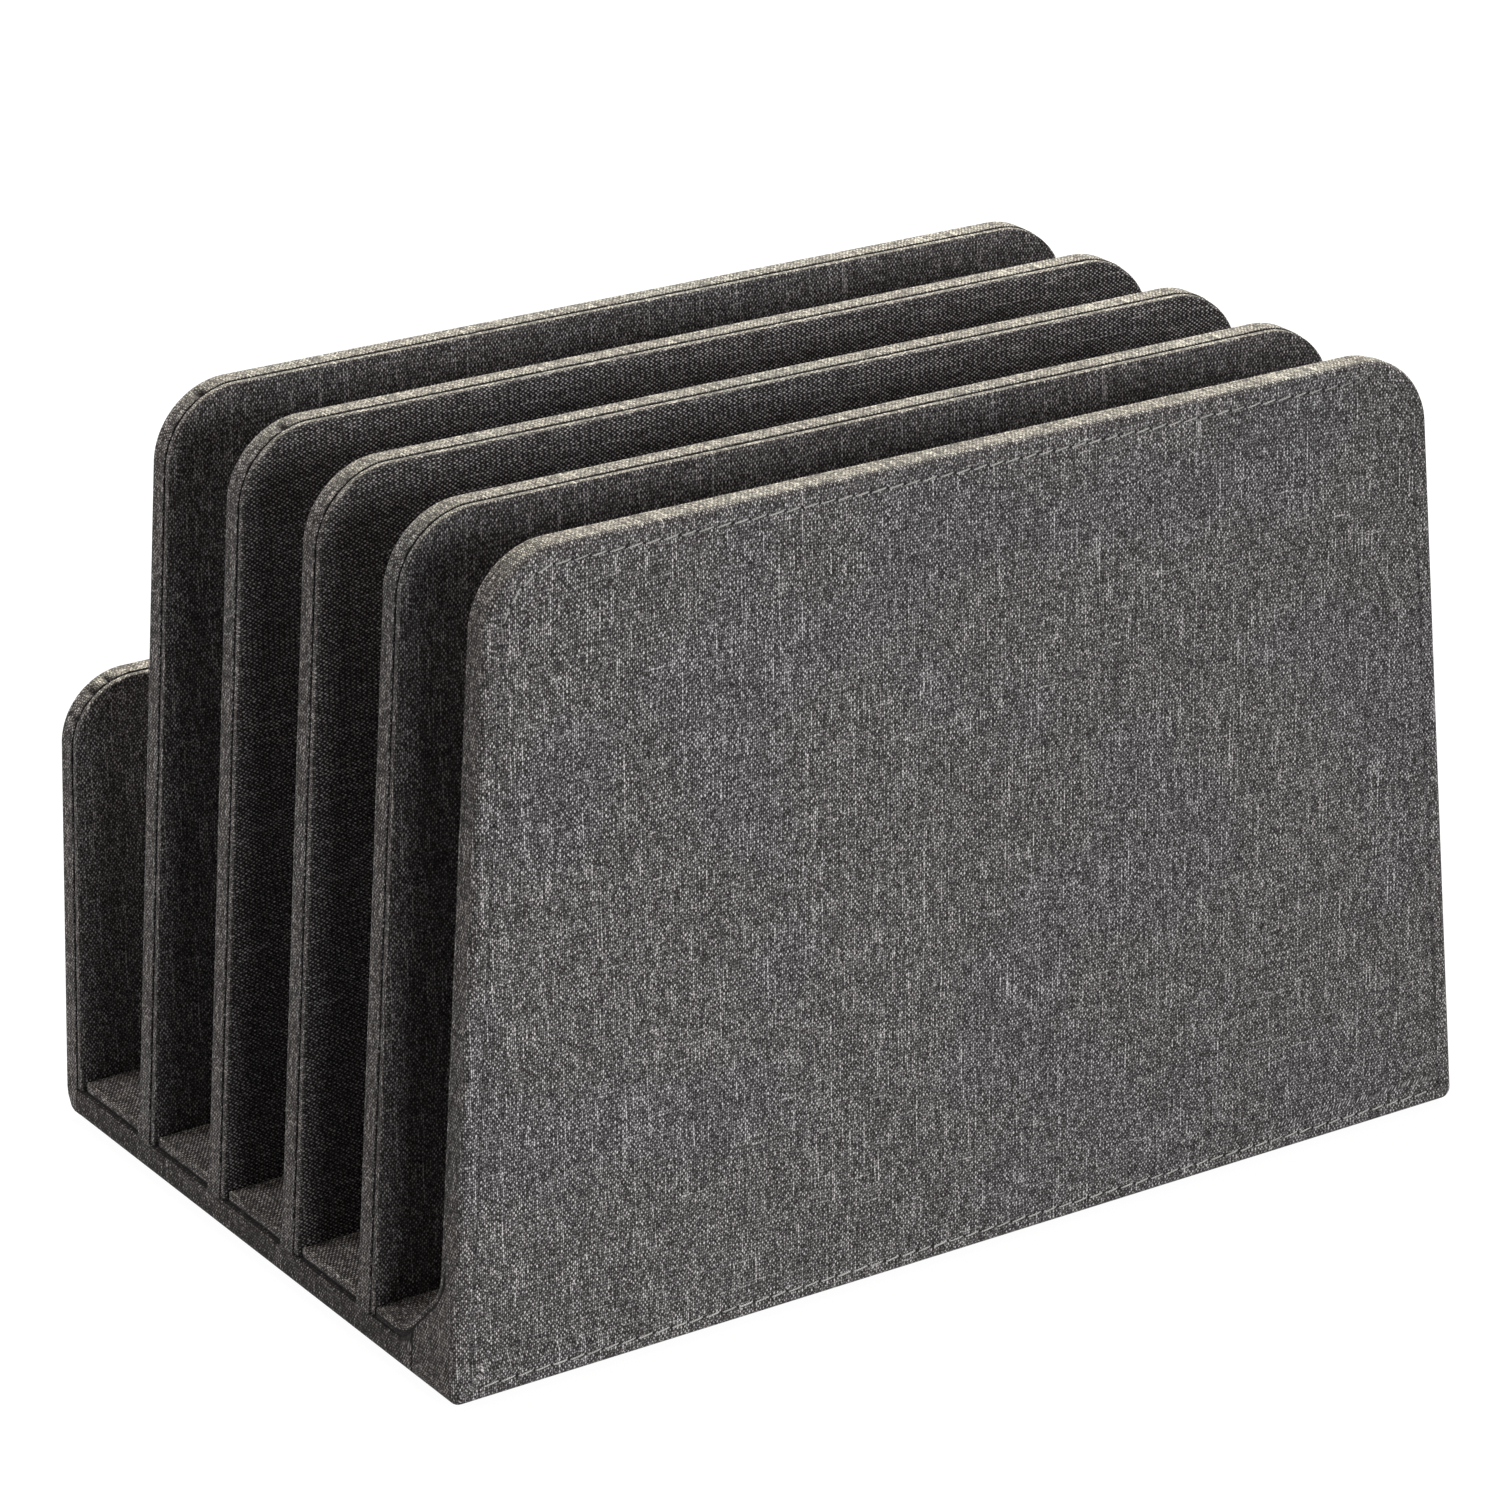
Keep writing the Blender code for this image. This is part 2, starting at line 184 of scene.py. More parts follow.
# %% Draw an outline
def draw_outline(shape, corners, rounds, depth, pitch):
    """A closed outline at one depth, with rounded corners and evenly cut straight runs."""
    spots = [Vector((x, depth, z)) for x, z in corners]
    shape.faces.new([shape.verts.new(spot) for spot in spots])
    for number, radius in enumerate(rounds):
        if radius > 0:
            spot = spots[number]
            turn = math.pi - (spots[number - 1] - spot).angle(spots[(number + 1) % 4] - spot)
            corner = min(shape.verts, key=lambda vert: (vert.co - spot).length)
            bmesh.ops.bevel(shape, geom=[corner], offset=radius * math.tan(turn / 2),
                            offset_type="OFFSET", segments=max(4, round(radius * turn / ARC_STEP)),
                            profile=0.5, affect="VERTICES", material=-1)
    bmesh.ops.delete(shape, geom=list(shape.faces), context="FACES_ONLY")
    for edge in list(shape.edges):
        cuts = round(edge.calc_length() / pitch) - 1
        if cuts > 0:
            bmesh.ops.subdivide_edges(shape, edges=[edge], cuts=cuts)
    mark_outline(shape)
    return list(shape.edges)


def walk(start, ring):
    """The points of a closed ring in order."""
    ring = set(ring)
    order, last = [start], None
    while True:
        options = [edge for edge in order[-1].link_edges if edge in ring and edge is not last]
        last = options[0]
        step = last.other_vert(order[-1])
        if step is start:
            return order
        order.append(step)


def mark_outline(shape):
    """Write down the flat cloth's coordinates and the distance round the outline."""
    along, across, up = layer(shape, "along"), layer(shape, "cloth_u"), layer(shape, "cloth_v")
    start = min(shape.verts, key=lambda vert: (round(vert.co.z, 5), abs(vert.co.x)))
    travelled, before = 0.0, start
    for vert in walk(start, shape.edges):
        travelled += (vert.co - before.co).length
        before = vert
        vert[along], vert[across], vert[up] = travelled, vert.co.x, vert.co.z


# %% Grow the next ring
def outward(vert, ring, middle):
    """The way out of the outline at one point, stretched at corners so that edges stay parallel."""
    near = [edge.other_vert(vert).co for edge in vert.link_edges if edge in ring]
    runs = [vert.co - near[0], near[1] - vert.co]
    normals = [Vector((run.z, 0, -run.x)).normalized() for run in runs]
    out = (normals[0] + normals[1]) / max(1 + normals[0].dot(normals[1]), 0.2)
    return out if out.dot(vert.co - middle) > 0 else -out


def at(value, place):
    """A size that is either one number or a rule that follows the point's place."""
    return value(place) if callable(value) else value


def new_parts(grown, kind):
    """The points or the edges among what an operator has made."""
    return [item for item in grown if isinstance(item, kind)]


def points_of(ring):
    """The points of a ring, each once. A list keeps their order the same in each run."""
    return list(dict.fromkeys(vert for edge in ring for vert in edge.verts))


def grow(shape, ring, draw_in, depth, heading=1):
    """Extrude a ring of edges, draw it in and set its depth. Heading is -1 towards the middle."""
    points, members = points_of(ring), set(ring)
    middle = sum((vert.co for vert in points), Vector()) / len(points)
    outs = {vert: outward(vert, members, middle) for vert in points}
    grown = bmesh.ops.extrude_edge_only(shape, edges=ring)["geom"]
    across, up = layer(shape, "cloth_u"), layer(shape, "cloth_v")
    for vert in new_parts(grown, bmesh.types.BMVert):
        neighbours = (edge.other_vert(vert) for edge in vert.link_edges)
        out = outs[next(other for other in neighbours if other in outs)]
        inward, level = at(draw_in, vert.co), at(depth, vert.co)
        moved = math.hypot(inward, level - vert.co.y) * heading
        vert.co = vert.co - out * inward
        vert.co.y = level
        vert[across] += out.x * moved
        vert[up] += out.z * moved
    return new_parts(grown, bmesh.types.BMEdge)


def close(shape, ring):
    """Fill a ring with one flat face."""
    bmesh.ops.contextual_create(shape, geom=ring)


def round_over(shape, ring, radius, start, end, steps, heading=1):
    """Turn a ring round an edge: away from the side it runs along, on to the face at the end."""
    sign = 1 if end > start else -1
    for step in range(1, steps + 1):

        def drawn(place, last=math.pi / 2 * (step - 1) / steps, turn=math.pi / 2 * step / steps):
            return at(radius, place) * (math.cos(last) - math.cos(turn))

        def level(place, turn=math.pi / 2 * step / steps):
            return end - sign * at(radius, place) * (1 - math.sin(turn))

        ring = grow(shape, ring, drawn, level, heading)
    return ring


# %% [markdown]
# ## Wear, painted highlights and painted shade in the joints
#
# Cloth that is drawn over an edge opens up and shows more of its pale threads, and the same layer
# also carries a painted highlight on top edges and card rims, where light from above catches them.
# Where two cloths meet, the joint is darkened with painted shade. A node for ambient occlusion
# could darken the joints, but it would darken the whole of each slot too. Here the points near a
# joint carry the amount in a layer, and the material reads the layer as an attribute.

# %% Wear the folds, paint their highlight, and paint shade in the joints
def mark_ring(shape, ring, name, amount):
    """Give a ring's points one value, such as the shade where cloth is tucked in."""
    for edge in ring:
        for vert in edge.verts:
            vert[layer(shape, name)] = at(amount, vert.co)


def smoothstep(low, high, value):
    """0 below low, 1 above high, and a soft rise between."""
    part = min(max((value - low) / (high - low), 0.0), 1.0)
    return part * part * (3 - 2 * part)


def tucked(top):
    """How much painted shade cloth gets where it goes under a card: most at the top, none beside a
    floor.
    """

    def amount(place):
        high = smoothstep(top - 40 * MM, top - 15 * MM, place.z)
        above_floor = smoothstep(TABLE_TOP + 0.5 * MM, TABLE_TOP + 3.5 * MM, place.z)
        return (0.4 + 0.6 * high) * above_floor

    return amount


def wear_and_highlight_folds(shape, face, rim, top):
    """More pale threads and a painted highlight where cloth goes over a top edge. The seen face keeps
    its tone.
    """
    fold = layer(shape, "fold")
    for vert in shape.verts:
        turned_over = smoothstep(0.1 * rim, 0.9 * rim, abs(vert.co.y - face))
        vert[fold] = max(vert[fold], smoothstep(9 * MM, 1 * MM, top - vert.co.z) * turned_over)


# %% [markdown]
# ## From a mesh to a piece of the stand
#
# Every piece is finished in the same way: doubles are merged, its faces are turned outwards, the
# flat cloth's coordinates become its UV map, it is hung on the body that it rides on, and the plain
# node that it stands for is hidden. An automatic unwrap would be simpler, but it would cut the
# weave up.

# %% Finish a piece
SHARP_FOLD = math.radians(40)


def finish_piece(name, shape, material, nodes=(), turned=False):
    """Make the object, lay its cloth map, hang it on the root body, and hide the node it stands for."""
    bmesh.ops.remove_doubles(shape, verts=shape.verts, dist=0.005 * MM)
    bmesh.ops.recalc_face_normals(shape, faces=shape.faces)
    for vert in shape.verts:
        # How far a face turns from front and rear, which the cloth tints as painted warm light
        vert[layer(shape, "edge")] = 1 - abs(vert.normal.y)
    across, up = layer(shape, "cloth_u"), layer(shape, "cloth_v")
    cloth_map = shape.loops.layers.uv.new("cloth")
    for face in shape.faces:
        face.smooth = True
        for corner in face.loops:
            flat = (corner.vert[across], corner.vert[up])
            corner[cloth_map].uv = flat[::-1] if turned else flat
    mesh = to_mesh(name, shape)
    mesh.materials.append(material)
    mesh.set_sharp_from_angle(angle=SHARP_FOLD)
    piece = new_object(name, mesh)
    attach(piece, "root")
    if nodes:
        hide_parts(*nodes)
    mesh.calc_loop_triangles()
    print(f"{name}: {len(mesh.loop_triangles)} triangles")
    return piece


# %% [markdown]
# ## Shader sums that read like sums
#
# A material is a graph of nodes, and arithmetic in a graph is slow to read. The small class below
# wraps one output, so that `a * b + 1` adds the Math nodes by itself. Colours and vectors use
# their own nodes, because a Math node would turn a colour grey.

# %% A value in a shader
def forward(operation):
    """An operator that adds a Math node, as for value - 1."""
    return lambda value, other: value.finish.math(operation, value, other)


def reflected(operation):
    """The same operator with a number on its left, as for 1 - value."""
    return lambda value, other: value.finish.math(operation, other, value)


class Value:
    """One output of a node. Sums on it add Math nodes."""

    def __init__(self, finish, output):
        self.finish = finish
        self.output = output

    def math(self, operation, *values):
        """One Math node on this value and others."""
        return self.finish.math(operation, self, *values)

    __add__, __radd__ = forward("ADD"), reflected("ADD")
    __sub__, __rsub__ = forward("SUBTRACT"), reflected("SUBTRACT")
    __mul__, __rmul__ = forward("MULTIPLY"), reflected("MULTIPLY")
    __truediv__ = forward("DIVIDE")

    def between(self, low, high):
        """This value, kept between two numbers."""
        return self.math("MAXIMUM", low).math("MINIMUM", high)


class Finish:
    """A material under construction."""

    def __init__(self, name):
        self.material = bpy.data.materials.new(name)
        self.material.use_nodes = True
        self.tree = self.material.node_tree
        self.shader = self.tree.nodes["Principled BSDF"]

    def node(self, kind, settings=None, inputs=None):
        """Add a node, set it up, and give its sockets values or links."""
        made = self.tree.nodes.new(kind)
        for name, value in (settings or {}).items():
            setattr(made, name, value)
        for name, value in (inputs or {}).items():
            self.feed(made.inputs[name], value)
        return made

    def feed(self, socket, value):
        """Link a socket, or set its own value."""
        if isinstance(value, Value):
            self.tree.links.new(value.output, socket)
        else:
            socket.default_value = value

    def value(self, made, output):
        """An output of a node, ready for sums."""
        return Value(self, made.outputs[output])

    def attribute(self, name):
        """A number that the points of the piece carry."""
        return self.value(self.node("ShaderNodeAttribute", {"attribute_name": name}), "Fac")

    def object_place(self):
        """Where a point of the piece lies, in metres."""
        return self.value(self.node("ShaderNodeTexCoord"), "Object")

    def parts(self, vector):
        """The three numbers of a vector."""
        made = self.node("ShaderNodeSeparateXYZ", None, {0: vector})
        return [self.value(made, axis) for axis in "XYZ"]

    def flat_place(self, name):
        """Where a point lies on a flat map of the piece."""
        return self.parts(self.value(self.node("ShaderNodeUVMap", {"uv_map": name}), "UV"))[:2]

    def math(self, operation, *values):
        """A Math node."""
        made = self.node("ShaderNodeMath", {"operation": operation}, dict(enumerate(values)))
        return self.value(made, "Value")

    def vector(self, x, y, z=0.0):
        """Three numbers as one vector."""
        return self.value(self.node("ShaderNodeCombineXYZ", None, {"X": x, "Y": y, "Z": z}), "Vector")

    def noise(self, place, scale=1.0, detail=0.0, roughness=0.5, flat=True):
        """Smooth noise about 0.5, in two or three dimensions."""
        settings = {"noise_dimensions": "2D" if flat else "3D"}
        inputs = {"Vector": place, "Scale": scale, "Detail": detail, "Roughness": roughness}
        return self.value(self.node("ShaderNodeTexNoise", settings, inputs), "Fac")

    def speck(self, x, y):
        """One random number for each pair of whole numbers."""
        settings = {"noise_dimensions": "2D"}
        made = self.node("ShaderNodeTexWhiteNoise", settings, {"Vector": self.vector(x, y)})
        return self.value(made, "Value")

    def mix(self, factor, one, two, blend="MIX"):
        """One colour turned into another."""
        settings = {"data_type": "RGBA", "blend_type": blend}
        made = self.node("ShaderNodeMix", settings, {"Factor": factor, 6: one, 7: two})
        return Value(self, made.outputs[2])

    def tint(self, colour, by):
        """A colour multiplied by another."""
        return self.mix(1.0, colour, by, "MULTIPLY")

    def surface(self, **inputs):
        """Feed the shader's sockets, with spaces written as underscores."""
        for name, value in inputs.items():
            self.feed(self.shader.inputs[name.replace("_", " ")], value)

    def bump(self, height, strength, distance):
        """Let a height tilt the light on the surface."""
        inputs = {"Height": height, "Strength": strength, "Distance": distance}
        self.surface(Normal=self.value(self.node("ShaderNodeBump", None, inputs), "Normal"))


# %% [markdown]
# ## The heather cloth
#
# The cloth is a plain weave: upright threads 0.48 mm apart cross level threads 0.67 mm apart and
# take turns to lie on top. Each thread is spun from dark and light fibres, so its tone changes
# along its length, and here and there it is thick and pale, which is a slub. An image of cloth
# would blur close up and repeat. Here each point works out which two threads cross under it,
# which one is on top, and how light that thread is at that place.

# %% Find the threads under a point
WARP_PITCH = 0.476 * MM
WEFT_PITCH = 0.674 * MM
WARP_TUFT = 2.8 * MM
WEFT_TUFT = 2.0 * MM
WARP_DRIFT = 0.9
WEFT_DRIFT = 0.7
WARP_STAGGER = 0.5
WARP_SEED = 40
WEFT_SEED = 70


def crossing(finish, u, v):
    """Where a point lies across the upright and the level threads, which wander a little."""
    drift = finish.noise(finish.vector(u, v), 90.0, 1.0) - 0.5
    across = u / WARP_PITCH + drift * WARP_DRIFT
    warp = across.math("FLOOR")
    up = v / WEFT_PITCH + drift * WEFT_DRIFT + finish.speck(warp, 0.0) * WARP_STAGGER
    return across, warp, up, up.math("FLOOR")


def ridge(place, number):
    """1 along the middle of a thread and 0 along its edges."""
    return ((place - number - 0.5) * math.pi).math("COSINE")


def thread(finish, number, along, length, seed, slubs):
    """The tone of one thread along its length, and its slubs, which are long, thin and pale."""
    fibre = finish.noise(finish.vector(number * 7.37 + seed, along / length), 1.0, 1.0, 0.6) - 0.5
    slow = finish.noise(finish.vector(number * 3.91 + seed, along / (3 * length))) - 0.5
    slub = finish.noise(finish.vector(number * 2.77 + seed, along / (4 * length))) - slubs
    return fibre * 1.5 + slow * 0.3, slub.between(0, 1)


# %% Weave the threads
# The tone is the logarithm of how light the cloth is, so each strength below is a ratio
MEAN_TONE = math.log(0.070)
WEAVE = 0.9
# How much stronger the weave is drawn where rib light and shade is painted
PAINTED_RIB_CONTRAST = 1.4
GAPS = 1.9
FLECKS = 1.5
FIBRES = 2.1
# How much the finest specks and the whole tone drop where rib light and shade is painted
COMBED = 1.4
RIB_SHADE = 0.5
WARP_SLUBS = 3.4
WEFT_SLUBS = 5.0
STREAK_WIDTH = 4 * MM
STREAK_LENGTH = 9 * MM


def weave(finish):
    """How light the cloth is at each point, and how high the threads stand."""
    u, v = finish.flat_place("cloth")
    rib_light_and_shade, edge = finish.attribute("rib_light_and_shade"), finish.attribute("edge").between(0, 1)
    across, warp, up, weft = crossing(finish, u, v)
    warp_ridge, weft_ridge = ridge(across, warp), ridge(up, weft)
    weft_on_top = ((warp + weft) * 0.5).math("FRACT") * 2
    warp_on_top = 1 - weft_on_top
    # Painted light and shade on the ribs: on facings and floors, threads on top are lighter and those
    # beneath darker, as under grazing light
    pattern = (warp_on_top - weft_on_top) * warp_ridge * weft_ridge * (WEAVE + rib_light_and_shade * PAINTED_RIB_CONTRAST)
    gaps = warp_ridge * warp_ridge * 0.65 + weft_ridge * weft_ridge * 0.5 - 0.57

    # Flecks as large as one crossing, clumps of four of them, and single fibres half as large
    clump = finish.speck((across * 0.5).math("FLOOR"), (up * 0.5).math("FLOOR")) - 0.5
    fleck = finish.speck(warp, weft) - 0.5 + clump * (0.15 + edge * 0.6)
    fibre = finish.speck((across * 2).math("FLOOR"), (up * 2).math("FLOOR")) - 0.5

    # In some patches every other upright thread is lighter, which gives fine upright streaks
    pair = (warp * 0.5).math("FRACT") * 4 - 1
    patch = finish.noise(finish.vector(u / STREAK_WIDTH, v / STREAK_LENGTH), 1.0, 1.0) - 0.38
    # Where rib light and shade is painted, the finest specks are weaker and the tone a little darker
    tone = MEAN_TONE + pattern + gaps * GAPS + fleck * FLECKS + fibre * (FIBRES - rib_light_and_shade * COMBED)
    tone += pair * patch.between(0, 1) - rib_light_and_shade * RIB_SHADE

    warp_tone, warp_slub = thread(finish, warp, v, WARP_TUFT, WARP_SEED, 0.59)
    weft_tone, weft_slub = thread(finish, weft, u, WEFT_TUFT, WEFT_SEED, 0.65)
    tone += warp_tone * (0.85 + warp_on_top * 0.4) + weft_tone * (0.1 + weft_on_top * 0.3)
    tone += warp_slub * warp_ridge * (WARP_SLUBS + warp_on_top * 2.0)
    tone += weft_slub * weft_ridge * weft_on_top * WEFT_SLUBS
    return tone, warp_ridge * weft_ridge + warp_slub * 2.0


# %% Colour the cloth
DARK_FIBRE = (0.0035, 0.0, 0.0006, 1)
PALE_FIBRE = (1.04, 0.99, 0.995, 1)
COOL_TINT = (0.88, 0.97, 1.0, 1)
# The tint of wear together with a painted highlight on edges
WEAR_AND_HIGHLIGHT_TINT = (1.02, 1.045, 0.925, 1)
# The tint of painted warm light on faces turned from front and rear
PAINTED_WARM_LIGHT_TINT = (1.02, 0.985, 0.935, 1)
# The painted shade in a needle hole
NEEDLE_HOLE_SHADE = (0.004, 0.004, 0.0045, 1)
STITCH_LENGTH = 4.4 * MM


def pressed(finish):
    """Painted shade in the needle holes and in the groove that the stitches press into the cloth."""
    stitch, away = finish.flat_place("seam")
    to_hole = (stitch - stitch.math("ROUND")) * (STITCH_LENGTH / MM)
    hole = (2.0 - (to_hole * to_hole * 3.2 + away * away * 5.0) * 3.0).between(0, 1)
    groove = 1 - (away * away / 0.25).between(0, 1)
    stitched = finish.attribute("stitched")
    return 1 - (1 - hole * 0.92 * stitched) * (1 - groove * 0.45 * stitched)


def heather_cloth():
    """Grey heather weave, paler and warmer where it is drawn over an edge, for wear and a painted
    highlight.
    """
    finish = Finish("heather_cloth")
    tone, height = weave(finish)
    place, fold = finish.object_place(), finish.attribute("fold").between(0, 1)
    patch = finish.noise(place, 38.0, 2.0, 0.55, flat=False) - 0.5
    tone = MEAN_TONE + (tone + patch * 0.1 - MEAN_TONE) * (1 - fold * 0.2)
    # Paler for wear and painted highlight, darker in painted shade at joints, pleats, pits and the base
    tone += fold * 0.5 - finish.attribute("shade") * 1.8
    light = tone.math("EXPONENT").between(0.004, 0.75)
    grey = finish.mix(light, DARK_FIBRE, PALE_FIBRE)
    cool = (finish.noise(place, 24.0, 1.0, 0.5, flat=False) - 0.5) * 1.6
    tinted = finish.mix(cool.between(0, 0.4), grey, finish.tint(grey, COOL_TINT))
    # Wear and painted highlight
    wear_and_highlight = finish.mix(fold, tinted, finish.tint(tinted, WEAR_AND_HIGHLIGHT_TINT))
    # Painted shade in the needle holes and along the seam's groove
    sewn = finish.mix(pressed(finish), wear_and_highlight, NEEDLE_HOLE_SHADE)
    # Painted light: faces turned from front and rear, such as tops, sides and floors, get a warmer tint
    turned_away = finish.attribute("edge").between(0, 1)
    colour = finish.mix(turned_away, sewn, finish.tint(sewn, PAINTED_WARM_LIGHT_TINT))
    finish.surface(Base_Color=colour, Roughness=0.95 - height * 0.08)
    finish.surface(Sheen_Weight=0.1, Sheen_Roughness=0.5, Specular_IOR_Level=0.2)
    finish.bump(height, 0.5, 0.10 * MM)
    return finish.material


HEATHER = heather_cloth()
print("heather cloth:", len(HEATHER.node_tree.nodes), "nodes")

# %% [markdown]
# ## The front panel's cloth
#
# The tall front panel is the face of the stand. Its cloth is broadly rounded over the front edge,
# runs back across the board's edge, and turns down behind it as a hem. At the foot the sides are
# deeper, because they also cover the ends of a coved strip. One rule for how deep the side goes
# at each height gives that shape without a second piece.

# %% How deep the front panel's side goes
FRONT_EDGE = 1.6 * MM
FRONT_PITCH = STITCH_LENGTH / 6


def cove_depth(height, radius):
    """The depth of the cove at one height: upright, a bend, a slanted face and a bend."""
    upper, lower = UPPER_AXIS[1] - height, LOWER_AXIS[1] - height
    reach = radius * math.sqrt(0.5)
    if upper <= 0:
        return UPPER_AXIS[0] - radius
    if upper < reach:
        return UPPER_AXIS[0] - math.sqrt(radius * radius - upper * upper)
    if lower < reach:
        return sum(UPPER_AXIS) - 2 * reach - height
    if lower < radius:
        return LOWER_AXIS[0] - math.sqrt(radius * radius - lower * lower)
    return LOWER_AXIS[0]


def side_end(place):
    """The rear edge of the front panel's side, which comes up over the liner's edge in the cove."""
    under_liner = 2.6 * MM - 1.1 * MM * smoothstep(UPPER_AXIS[1], UPPER_AXIS[1] - 6 * MM, place.z)
    return min(cove_depth(place.z, COVE_BEND + under_liner), FOOT_END)


def above_base(place):
    """Painted shade at the side's rear edge: faint beside the base, where two cloths meet flush, and 1
    above it.
    """
    return 0.1 + 0.9 * smoothstep(10 * MM, 13 * MM, place.z)


def in_cove(place):
    """1 along the cove, where the side's cloth is tucked under the liner's edge and gets painted shade.
    """
    return smoothstep(11 * MM, 13 * MM, place.z) * smoothstep(30 * MM, 27 * MM, place.z)


def hem_width(place):
    """The hem behind the board, which ends where the cove begins."""
    return 11 * MM * smoothstep(29 * MM, 36 * MM, place.z)


# %% Lay out the line of stitches
STITCH_CORNER = 1.4 * MM
STITCH_TOP = 4.2 * MM
STITCH_FOOT = 3.4 * MM
STITCH_SIDE = 4.4 * MM


def stitch_path():
    """The stitch line as points in order, with the distance walked to each of them."""
    shape = new_shape()
    corners = corners_of(FOOT + STITCH_FOOT, FRONT_TOP - STITCH_TOP, LEAN, STITCH_SIDE)
    rounds = (STITCH_CORNER, SHOULDER - STITCH_TOP, SHOULDER - STITCH_TOP, STITCH_CORNER)
    ring = draw_outline(shape, corners, rounds, FRONT_Y, 0.3 * MM)
    start = min(shape.verts, key=lambda vert: (round(vert.co.z, 5), abs(vert.co.x)))
    path = [vert.co.copy() for vert in walk(start, ring)]
    shape.free()
    distances = [0.0]
    for last, spot in zip(path, path[1:]):
        distances.append(distances[-1] + (spot - last).length)
    return path, distances


SEAM, SEAM_AT = stitch_path()
SEAM_LENGTH = SEAM_AT[-1] + (SEAM[0] - SEAM[-1]).length
STITCH_COUNT = round(SEAM_LENGTH / STITCH_LENGTH)
STITCH = SEAM_LENGTH / STITCH_COUNT
SEAM_TREE = kdtree.KDTree(len(SEAM))
for number, spot in enumerate(SEAM):
    SEAM_TREE.insert(spot, number)
SEAM_TREE.balance()
print(f"{STITCH_COUNT} stitches of {STITCH / MM:.2f} mm")


def seam_place(spot):
    """How many stitches along the line a point is, and how far from the line."""
    _, number, away = SEAM_TREE.find(spot)
    return SEAM_AT[number] / STITCH, away


def pull_cloth(shape):
    """Sink the cloth along the stitch line, most at the needle holes, and note the line's map."""
    seam_map = shape.loops.layers.uv.new("seam")
    places = {}
    for vert in shape.verts:
        if vert.co.y > FRONT_Y + 0.5 * MM:
            places[vert] = (0.5, 1.0)
            continue
        stitch, away = seam_place(vert.co)
        places[vert] = (stitch, away)
        vert[layer(shape, "stitched")] = 1.0
        hole = math.cos(math.pi * stitch) ** 8
        vert.co.y += (0.10 + 0.14 * hole) * MM * math.exp(-(away / (0.9 * MM)) ** 2)
    for face in shape.faces:
        spread = [places[corner.vert][0] for corner in face.loops]
        wraps = max(spread) - min(spread) > STITCH_COUNT / 2
        for corner in face.loops:
            stitch, away = places[corner.vert]
            if wraps and stitch < STITCH_COUNT / 2:
                stitch += STITCH_COUNT
            corner[seam_map].uv = (stitch, away / MM)


# %% Wrap the front panel
# Insets of the face's rows in mm, closest together where the stitches pull on the cloth
FACE_ROWS = (2.2, 2.8, 3.2, 3.6, 4.0, 4.4, 4.8, 5.4, 6.6)

# The turn over the side's rear edge: how far in and how far back each ring goes in mm, and its painted
# shade
REAR_RINGS = ((0.03, 0.12, 0.3), (0.12, 0.09, 0.7), (0.15, 0.04, 1.0))
SIDE_RINGS = 4
REAR_STRIP = 0.6 * MM


def join_foot_corners(shape, ring, margin):
    """Past the foot corners' radius each corner is one point, which takes in what it passes."""
    corners = corners_of(FOOT + margin, FRONT_TOP - margin, LEAN, margin)
    reach = 0.3 * MM
    for x, z in (corners[0], corners[3]):
        passed = [vert for vert in points_of(ring) if vert.co.x * x > 0
                  and vert.co.z < z + reach and abs(vert.co.x) > abs(x) - reach]
        bmesh.ops.pointmerge(shape, verts=passed, merge_co=(x, FRONT_Y, z))
        ring = [edge for edge in shape.edges
                if edge.is_boundary and all(vert.co.y < FRONT_Y + MM for vert in edge.verts)]
    return ring


def front_face(shape, ring):
    """The rounded edge and the rows that the stitches pull on, closed with a flat face."""
    ring = round_over(shape, ring, FRONT_EDGE, FRONT_Y + FRONT_EDGE, FRONT_Y, 5, -1)
    inset = FRONT_EDGE
    for row in FACE_ROWS:
        ring = grow(shape, ring, row * MM - inset, FRONT_Y, -1)
        inset = row * MM
        if inset > FOOT_CORNER:
            ring = join_foot_corners(shape, ring, inset)
    close(shape, ring)


def front_back(shape, ring):
    """The side, the hem behind the board, and the inside of the cloth."""
    start = FRONT_Y + FRONT_EDGE + HOLD
    ring = grow(shape, ring, 0.0, start)
    for step in range(1, SIDE_RINGS + 1):

        def level(place, part=step / SIDE_RINGS):
            return start + (side_end(place) - REAR_STRIP - start) * part

        ring = grow(shape, ring, 0.0, level)
    ring = grow(shape, ring, 0.0, lambda place: place.y + 0.1 * MM)
    # Painted shade along the cove, where the side's edge meets the liner
    mark_ring(shape, ring, "shade", lambda place: 1.5 * in_cove(place))
    ring = grow(shape, ring, 0.0, lambda place: place.y + 0.25 * MM)
    for drawn, back, dark in REAR_RINGS:
        ring = grow(shape, ring, drawn * MM, lambda place, back=back: place.y + back * MM)
        # Painted shade on the rear edge's rings, strongest in the cove
        mark_ring(shape, ring, "shade",
                  lambda place, dark=dark: max(in_cove(place) * 1.6, dark * above_base(place)))
    ring = grow(shape, ring, lambda place: 0.2 * MM + hem_width(place), lambda place: place.y)
    # Painted shade on the hem, which the rings grown from it keep
    mark_ring(shape, ring, "shade", 1.0)
    ring = grow(shape, ring, 0.0,
                lambda place: place.y - CLOTH * smoothstep(29 * MM, 30 * MM, place.z))
    ring = grow(shape, ring, lambda place: -hem_width(place), lambda place: place.y)
    ring = grow(shape, ring, 0.0, FRONT_Y + 2.3 * MM, -1)
    ring = grow(shape, ring, 0.9 * MM, FRONT_Y + CLOTH, -1)
    close(shape, ring)


